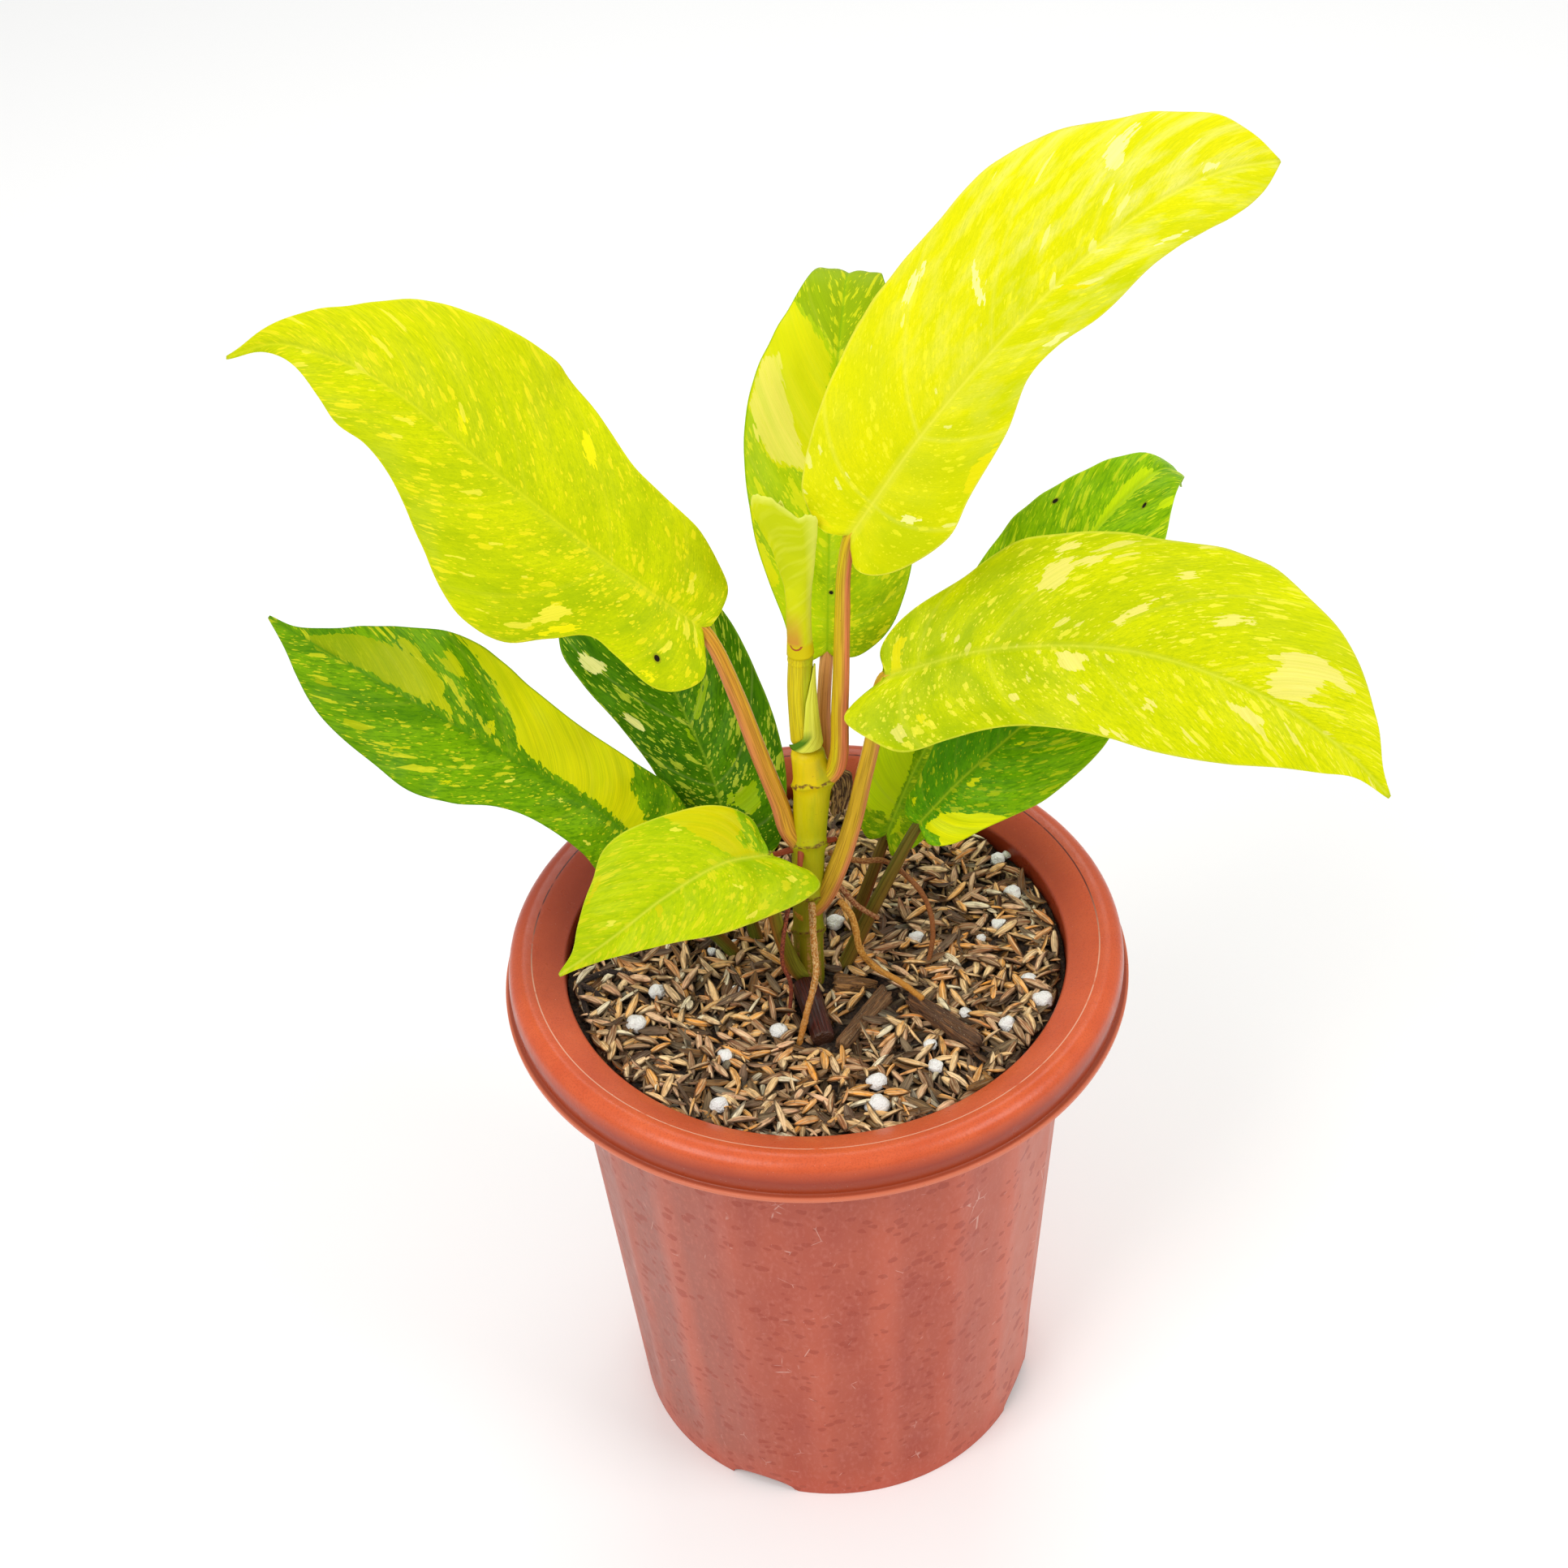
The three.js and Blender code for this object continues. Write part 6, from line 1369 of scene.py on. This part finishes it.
def huskSkin():
    # Rice hulls: dry silica-rich husk, straw to brown with age, ribbed lengthwise, faintly shiny outside
    finish, tree, shader, place = newFinish("weathered_rice_husk", 0.5, "huskPlace", Specular_IOR_Level=0.3)
    hue = addNode(tree, "Attribute", attribute_name="huskTone").outputs["Fac"]
    cup = addNode(tree, "Attribute", attribute_name="huskCup").outputs["Fac"]
    tones = addNode(tree, "ValToRGB", {0: hue})
    tones.color_ramp.interpolation = "CONSTANT"
    setTones(tones, [(number / len(huskSet["tones"]), tint) for number, tint in enumerate(huskSet["tones"])])
    ribs = streaks(tree, place, (9, 0.34, 9), 0.42, 0.58)
    pale = addNode(tree, "Math", {0: ribs, 1: 0.5}, operation="MULTIPLY")
    grooves = streaks(tree, place, (9, 0.34, 9), 0.46, 0.6, 0.5, shift=7.3)
    worn = streaks(tree, place, (2.4, 1.2, 9), 0.5, 0.68, 0.5)
    # painted shade inside each hull's cup
    hollowShade = addNode(tree, "MapRange", {"Value": cup, "From Min": 0.1, "From Max": -0.05, "To Max": 0.75})
    # painted shade on the lower hulls, down in the gaps between the others
    level = addNode(tree, "SeparateXYZ", {0: addNode(tree, "TexCoord").outputs["Object"]}).outputs[2]
    buriedShade = addNode(tree, "MapRange", {"Value": level, "From Min": 173.4 * mm, "From Max": 171.6 * mm,
                                        "To Max": 0.8})
    colour = paint(tree, tones.outputs[0], ("#fbe6b4", pale), ("#5a3414", grooves), ("#6b4420", worn),
                   ("#2c190c", hollowShade), ("#1e120a", buriedShade))
    dress(tree, shader, colour, ribs, 0.6, 0.0002)
    return finish


def turned(first, second, angle):
    # two coordinates turned by an angle, one for each hull
    c, s = np.cos(angle)[:, None], np.sin(angle)[:, None]
    return first * c - second * s, first * s + second * c


def makeHusks():
    # Three layers on a golden-angle spiral with jitter; each hull is bent, rolled, pitched and turned
    draw = np.random.default_rng(huskSet["seed"])
    shape, faces = huskShape()
    places, heights, loose = [], [], []
    for layer, (count, level) in enumerate(huskSet["layers"]):
        reach = huskSet["reach"] * np.sqrt((np.arange(count) + 0.5) / count)
        angle = np.arange(count) * math.pi * (3 - math.sqrt(5)) + draw.normal(0, 0.03, count) + layer
        flat = np.stack([reach * np.cos(angle), reach * np.sin(angle)], -1) + draw.normal(0, 0.9, (count, 2))
        flat = flat[clearOf(flat, 0.3 + 0.5 * layer)]
        places.append(flat)
        heights.append(level + 0.7 * softNoise(flat, 16, 21) + draw.normal(0, 0.3, len(flat)))
        loose.append(np.full(len(flat), 0.6 + 0.35 * layer))
    flat, height, loose = np.concatenate(places), np.concatenate(heights), np.concatenate(loose)
    count = len(flat)
    size = np.stack([draw.uniform(*huskSet["length"], count), draw.uniform(*huskSet["width"], count) / 2,
                     draw.uniform(*huskSet["height"], count)], -1)
    kind = draw.random(count)  # split needles and broken bits lie among the whole hulls
    needle, small = kind < huskSet["needles"], kind > 1 - huskSet["bits"]
    size[needle] *= (0.85, 0.48, 0.7)
    size[small] *= draw.uniform(0.35, 0.7, (small.sum(), 1))
    yaw = draw.uniform(0, 2 * math.pi, count)
    pitch = draw.normal(0, 0.2, count) * loose
    roll = draw.normal(0, 0.45, count) + np.where(draw.random(count) < 0.38, math.pi, 0)
    # hulls near the wall are drawn in until both ends clear it
    out = np.linalg.norm(flat, axis=1)
    lean = np.abs(np.cos(yaw - np.arctan2(flat[:, 1], flat[:, 0])))
    allowed = huskSet["reach"] - size[:, 0] / 2 * lean - size[:, 1]
    flat = flat * np.minimum(1, allowed / out)[:, None]
    x, y, z = np.moveaxis(shape[None] * size[:, None], -1, 0)
    ends = (2 * shape[None, :, 0]) ** 2
    z = z - draw.uniform(0, 0.9, count)[:, None] * ends * 0.6
    y = y + draw.normal(0, 0.35, count)[:, None] * ends
    y, z = turned(y, z, roll)
    z, x = turned(z, x, pitch)
    x, y = turned(x, y, yaw)
    points = np.stack([x + flat[:, :1], y + flat[:, 1:], z + height[:, None]], -1)
    away = np.linalg.norm(points[..., :2], axis=-1)
    points[..., :2] *= np.minimum(1, huskSet["wall"] / np.maximum(away, 1))[..., None]
    tone = draw.random(count)
    per = len(shape)
    huskPlace = shape[None] * size[:, None] + np.arange(count)[:, None, None] * (0, 13.7, 0)
    cup = np.broadcast_to(shape[:, 2] - 0.35, (count, per))
    finish = huskSkin()
    # two pieces, so that each stays light
    for number, chosen in enumerate((np.arange(count) % 2 == 0, np.arange(count) % 2 == 1)):
        base = np.arange(chosen.sum())[:, None, None] * per
        parts = [(part[None] + base).reshape(-1, part.shape[1]) for part in faces]
        makePiece(f"rice_husks_{number}", points[chosen].reshape(-1, 3), parts, finish, (),
                  {"huskPlace": huskPlace[chosen].reshape(-1, 3), "huskTone": np.repeat(tone[chosen], per),
                   "huskCup": cup[chosen].ravel()})


def makeGrains():
    # balls lumped by noise and a little flattened, half sunk among the hulls
    tall, turn = np.meshgrid(np.linspace(0, math.pi, 26)[1:-1], np.arange(36) / 36 * 2 * math.pi,
                             indexing="ij")
    ball = np.stack([np.sin(tall) * np.cos(turn), np.sin(tall) * np.sin(turn), np.cos(tall)], -1)
    grains = []
    for number, (x, y, radius) in enumerate(grainSet["places"]):
        lumps = 0.94 + 0.11 * softNoise(ball, 1.5, 100 + number) + 0.04 * softNoise(ball, 0.6, 200 + number)
        vertices, faces = closedRings(ball * (lumps * radius)[..., None] * (1.06, 0.96, 0.84))
        grains.append((vertices + (x, y, bedSet["top"] + 0.45 * radius + 0.6), faces))
    vertices, faces = joined(grains)
    # Expanded perlite: white volcanic glass foam, dull and pitted, with brown dust in its pits
    finish, tree, shader, body = newFinish("expanded_perlite", 0.85, "body")
    pits = streaks(tree, body, (0.5, 0.5, 0.5), 0.35, 0.65, detail=3.0)
    dust = streaks(tree, body, (1.6, 1.6, 1.6), 0.6, 0.76, 0.45)
    dress(tree, shader, paint(tree, "#faf8f4", ("#c9bda8", dust)), pits, 0.7, 0.0004)
    makePiece("perlite_grains", vertices, faces, finish,
              [f"perlite_{number}" for number in range(1, 17)])


# Pot

potSet = {
    "rounds": 280, "foot": 62.85, "shoulder": (74.4, 167.7), "flutes": 20, "depth": 1.0, "first": 12.5,
    "fluteFoot": (9, 20), "fluteHead": (155, 166),
    "notches": 4, "notchFirst": -24, "notchWidth": 21, "notchHeight": 4, "notchBlend": (5.5, 8),
    "drainRadius": 4, "drainCircle": 38, "drains": 6, "rodSides": 40, "rodEnds": (3, 7.9), "spacing": 4.5,
    "seam": 81.3, "groove": 171.75,  # radius of the rim's parting line, height of the groove over its lip
    "profile": (  # radius, height and how far the corner is eased
        (0.4, 5.5, 0), (60.65, 5.5, 0.4), (60.65, 0, 0.2), (62.85, 0, 0.4), (74.4, 167.7, 0.5),
        (75, 174.1, 1.2), (77, 177.1, 1.5), (84, 179.6, 2), (86.7, 170.1, 0.1), (89.9, 170.1, 0.25),
        (89.9, 171.3, 0.3), (88.2, 171.7, 0.3), (88.5, 176.7, 2.3), (87.8, 180.1, 1.6), (86.3, 181.7, 1.1),
        (84, 182.6, 1.2), (81, 181.8, 1.4), (76.1, 179.3, 2.2), (72.1, 176.7, 0.7), (72.1, 168, 0.5),
        (61.25, 8.7, 0.4), (60.2, 7.7, 0.4), (0.4, 7.7, 0),
    ),
}


def potProfile():
    # every corner gives way to a parabola between the points its easing reaches on both sides
    corners = np.array(potSet["profile"])
    spots, t = corners[:, :2], np.linspace(0, 1, 6)[:, None]
    path = [spots[:1]]
    for before, here, after, ease in zip(spots, spots[1:], spots[2:], corners[1:-1, 2]):
        reach = min(ease, 0.49 * np.linalg.norm(here - before), 0.49 * np.linalg.norm(after - here))
        start, end = here + unit(before - here) * reach, here + unit(after - here) * reach
        path.append((1 - t) ** 2 * start + 2 * t * (1 - t) * here + t * t * end)
    path = np.vstack([*path, spots[-1:]])
    length = np.concatenate([[0], np.cumsum(np.linalg.norm(np.diff(path, axis=0), axis=1))])
    fill = np.arange(0, length[-1], potSet["spacing"])
    fill = fill[np.abs(fill[:, None] - length[None]).min(1) > 0.8]
    stops = np.sort(np.concatenate([length, fill]))
    return np.stack([np.interp(stops, length, part) for part in path.T], -1)


def makePot():
    profile = potProfile()
    notches = np.radians(potSet["notchFirst"] + 90 * np.arange(potSet["notches"]))
    half = potSet["notchWidth"] / 2
    close = np.arcsin(np.clip(half * np.cos(np.linspace(0, math.pi, 29)) / potSet["foot"], -1, 1))
    evenly = np.arange(potSet["rounds"]) / potSet["rounds"] * 2 * math.pi
    angles = np.concatenate([evenly + math.radians(potSet["first"]), (notches[:, None] + close).ravel()])
    angles = np.sort((angles + math.pi) % (2 * math.pi) - math.pi)
    angles = angles[np.concatenate([[True], np.diff(angles) > 0.0012])]
    radius, angle = np.meshgrid(profile[:, 0], angles, indexing="ij")
    height = np.broadcast_to(profile[:, 1:], radius.shape).copy()
    slope = (potSet["shoulder"][0] - potSet["foot"]) / potSet["shoulder"][1]
    body = np.abs(radius - potSet["foot"] - slope * height) < 0.6
    # flutes: the wall draws in by depth * |sin| between sharp ridges and fades out at foot and head
    fade = ramp(height, *potSet["fluteFoot"]) * (1 - ramp(height, *potSet["fluteHead"]))
    turn = angle - math.radians(potSet["first"])
    radius = radius - np.where(body, potSet["depth"] * fade * np.abs(np.sin(turn * potSet["flutes"] / 2)), 0)
    # notches: the foot rises as an ellipse over each one, and the wall above closes up
    arch = np.zeros_like(angle)
    for notch in notches:
        away = potSet["foot"] * np.sin(angle - notch) / half
        rise = potSet["notchHeight"] * np.sqrt(np.clip(1 - away ** 2, 0, 1))
        arch = np.maximum(arch, np.where(np.cos(angle - notch) > 0, rise, 0))
    for inner, blend in zip((True, False), potSet["notchBlend"]):
        part = (radius > 60.4) & (height < blend) & ((radius < 61.6) == inner)
        height = np.where(part, height + arch * (1 - height / blend), height)
    points = np.stack([radius * np.sin(angle), -radius * np.cos(angle), height], -1)
    vertices, faces = closedRings(points)
    pot = makePiece("pot_shell", vertices, faces, potSkin(), ["pot"])
    drillFloor(pot)


def drillFloor(pot):
    # drain holes are cut by upright rods, on a circle and in its middle, which are then dropped
    sides = potSet["rodSides"]
    turn = np.arange(sides) / sides * 2 * math.pi
    places = [(potSet["drainCircle"] * math.cos(a), potSet["drainCircle"] * math.sin(a))
              for a in np.arange(potSet["drains"]) * 2 * math.pi / potSet["drains"]] + [(0, 0)]
    vertices, faces = [], []
    for number, (x, y) in enumerate(places):
        ring = potSet["drainRadius"] * np.stack([np.cos(turn), np.sin(turn)], -1) + (x, y)
        vertices += [np.column_stack([ring, np.full(sides, level)]) for level in potSet["rodEnds"]]
        foot = np.arange(sides) + number * 2 * sides
        faces += (gridFaces(2, sides, ring=True) + foot[0]).tolist()
        faces += [foot[::-1].tolist(), (foot + sides).tolist()]
    mesh = bpy.data.meshes.new("drain_rods")
    mesh.from_pydata((np.vstack(vertices) * mm).tolist(), [], faces)
    rods = bpy.data.objects.new("drain_rods", mesh)
    bpy.context.collection.objects.link(rods)
    cut = pot.modifiers.new("drains", "BOOLEAN")
    cut.object, cut.operation, cut.solver = rods, "DIFFERENCE", "EXACT"
    drilled = bpy.data.meshes.new_from_object(pot.evaluated_get(bpy.context.evaluated_depsgraph_get()))
    pot.modifiers.clear()
    pot.data = drilled
    bpy.data.objects.remove(rods)
    drilled.set_sharp_from_angle(angle=math.radians(50))


def potMasks(tree, body):
    # masks over the place on the pot: its height z, radius out, turn from the front and depth to the front
    x, y, z = addNode(tree, "SeparateXYZ", {0: body}).outputs
    front = addNode(tree, "Math", {0: y, 1: -1.0}, operation="MULTIPLY")
    turn = addNode(tree, "Math", {0: x, 1: front}, operation="ARCTAN2")
    flat = addNode(tree, "VectorMath", {0: body, 1: (1.0, 1.0, 0.0)}, operation="MULTIPLY")
    out = addNode(tree, "VectorMath", {0: flat}, operation="LENGTH").outputs["Value"]
    wave = addNode(tree, "Math", {0: turn, 1: potSet["flutes"], 2: -math.radians(potSet["first"])
                                  * potSet["flutes"]}, operation="MULTIPLY_ADD")
    gaps = {}
    for name, value, line in (("seam", out, potSet["seam"]), ("groove", z, potSet["groove"])):
        gap = addNode(tree, "Math", {0: value, 1: line}, operation="SUBTRACT")
        gaps[name] = addNode(tree, "Math", {0: gap}, operation="ABSOLUTE")
    masks = {  # along what each one shows, where it starts and is full, and how far it shows there
        # painted sheen: the masks for the wall's left and right sides paint dried dust together with a sheen
        # of reflected light
        "isRim": (z, 169.6, 170, 1), "low": (z, 14, 3, 0.6), "dustSheenLeft": (turn, -0.25, -0.75, 0.55),
        # painted shade: the roll and under masks darken the outer face of the rim's roll and the part beneath
        # it
        "paler": (turn, 0.5, 1, 0.45), "roll": (z, 180.8, 176, 1), "under": (z, 176, 173.5, 0.4),
        # painted shade: the inner mask darkens the rim's inner slope towards the back
        "outer": (out, 85.5, 88, 1), "behind": (front, 24, -26, 1), "inner": (out, 80, 74.5, 0.4),
        # painted shade: the seam's pale line turns dark towards the back
        "shaded": (x, -20, -65, 0.85), "seam": (gaps["seam"], 0.24, 0.1, 1), "seamShade": (front, 15, -15, 1),
        # painted shade in the groove over the lip, and a painted highlight along the lip's edge
        "groove": (gaps["groove"], 0.5, 0.2, 0.6), "lip": (out, 89, 89.5, 0.75),
        # painted shade on the inner wall just below the rim's edge, where it turns down into the pot
        "throatShade": (out, 72.9, 72.3, 0.7),
        # painted highlight: the ridge mask lightens the wall along each flute ridge, where light catches it
        "ridge": (addNode(tree, "Math", {0: wave}, operation="COSINE"), -0.2, 1, 0.5),
    }
    masks = {name: addNode(tree, "MapRange", {"Value": value, "From Min": start, "From Max": full,
                                              "To Max": most})
             for name, (value, start, full, most) in masks.items()}
    masks["shaded"].inputs["To Min"].default_value = 0.3
    masks["patchy"] = streaks(tree, body, (30, 30, 60), 0.3, 0.7)
    masks["broken"] = streaks(tree, body, (4, 4, 4), 0.25, 0.42, 0.9)
    for name, other in (("ridge", "patchy"), ("roll", "outer"), ("under", "outer"), ("inner", "behind"),
                        ("shaded", "behind"), ("seam", "broken")):
        masks[name] = addNode(tree, "Math", {0: masks[name], 1: masks[other]}, operation="MULTIPLY")
    return masks


def wallColour(tree, body, masks):
    # dried drops are round spots, each larger by its own chance; scratches follow edges of wide cells
    cells = addNode(tree, "Mapping", {"Vector": body, "Scale": (0.3, 0.3, 0.44),
                                      "Rotation": (0.0, 0.35, 0.0)})
    cells = addNode(tree, "TexVoronoi", {"Vector": cells, "Scale": 1.0})
    chance = addNode(tree, "SeparateXYZ", {0: cells.outputs["Color"]}).outputs[0]
    size = addNode(tree, "MapRange", {"Value": chance, "From Min": 0.66, "From Max": 1.0, "To Max": 0.7})
    inside = addNode(tree, "Math", {0: size, 1: cells.outputs["Distance"]}, operation="SUBTRACT")
    drop = addNode(tree, "MapRange", {"Value": inside, "From Min": -0.03, "From Max": 0.05, "To Max": 0.5})
    web = addNode(tree, "TexVoronoi", {"Vector": body, "Scale": 0.09}, feature="DISTANCE_TO_EDGE")
    line = addNode(tree, "MapRange", {"Value": web.outputs["Distance"], "From Min": 0.012,
                                      "From Max": 0.006})
    scratch = addNode(tree, "Math", {0: line, 1: streaks(tree, body, (6, 6, 9), 0.62, 0.68, 0.5)},
                      operation="MULTIPLY")
    return paint(tree, "#b1523b", ("#a24332", streaks(tree, body, (12, 12, 30), 0.35, 0.7, 0.7)),
                 ("#946a60", masks["dustSheenLeft"]), ("#cf8672", masks["paler"]), ("#d0664a", masks["ridge"]),
                 ("#bf4e30", masks["low"]),
                 ("#c77463", streaks(tree, body, (1.1, 1.1, 2.2), 0.5, 0.75, 0.35)),
                 ("#97351f", drop), ("#dcb3a6", scratch),
                 ("#e3c4b8", streaks(tree, body, (0.5, 0.5, 0.9), 0.74, 0.77, 0.4)))


def rimColour(tree, body, masks):
    # orange-red on top, speckled with dust and scuffed in places; painted shade on the outer face of the roll
    # and under it, on the left and back, on the inner slope behind, in the groove over the lip, in the throat
    # and along the back of the seam, and a painted highlight along the lip
    return paint(tree, "#d96135", ("#c8502a", streaks(tree, body, (14, 14, 14), 0.35, 0.7, 0.7)),
                 ("#98381e", masks["shaded"]), ("#74260f", masks["inner"]), ("#96300e", masks["roll"]),
                 ("#a04626", masks["under"]), ("#a04a30", masks["groove"]),
                 ("#9c3a1c", streaks(tree, body, (0.45, 0.45, 0.45), 0.48, 0.66, 0.3)),
                 ("#dc7a58", masks["lip"]), ("#8c3018", masks["throatShade"]),
                 (paint(tree, "#e6ac90", ("#32100a", masks["seamShade"])), masks["seam"]),
                 ("#e8d2c6", streaks(tree, body, (0.5, 0.5, 0.5), 0.76, 0.78, 0.5)))


def potSkin():
    # Moulded brick-red polypropylene: glossy where handled, at the rim, and filmed with dried dust and
    # water marks on the wall. Its paler, pinker left and right sides are that dust with a painted sheen of
    # reflected light, and the flute ridges carry a painted highlight.
    finish, tree, shader, body = newFinish("moulded_polypropylene", 0.4, "body", IOR=1.49,
                                           Specular_IOR_Level=0.35)
    masks = potMasks(tree, body)
    colour = paint(tree, wallColour(tree, body, masks), (rimColour(tree, body, masks), masks["isRim"]))
    dress(tree, shader, colour, streaks(tree, body, (1.6, 1.6, 3), 0.3, 0.7, detail=3.0), 0.12, 0.0003)
    gloss = addNode(tree, "MapRange", {"Value": masks["isRim"], "To Min": 0.44, "To Max": 0.26})
    rough = addNode(tree, "Math", {0: gloss, 1: streaks(tree, body, (5, 5, 9), 0.3, 0.7, 0.1)},
                    operation="ADD")
    tree.links.new(rough.outputs[0], shader.inputs["Roughness"])
    return finish


bpy.context.scene.view_settings.view_transform = "Standard"
placeCamera()
placeLight()
placeFloor()
print("stage: camera, light and floor")

for leaf in leaves:
    makeBlade(leaf)
    makeStalk(leaf)
print("stage: leaf blades and petioles")
makeStem()
makeRoots()
makeNewLeaf()
makeBract()
print("stage: stem, roots and new leaf")
makeStub()
makeChips()
makeTwig()
makeBed()
makeHusks()
makeGrains()
print("stage: soil")
makePot()
print("stage: pot")
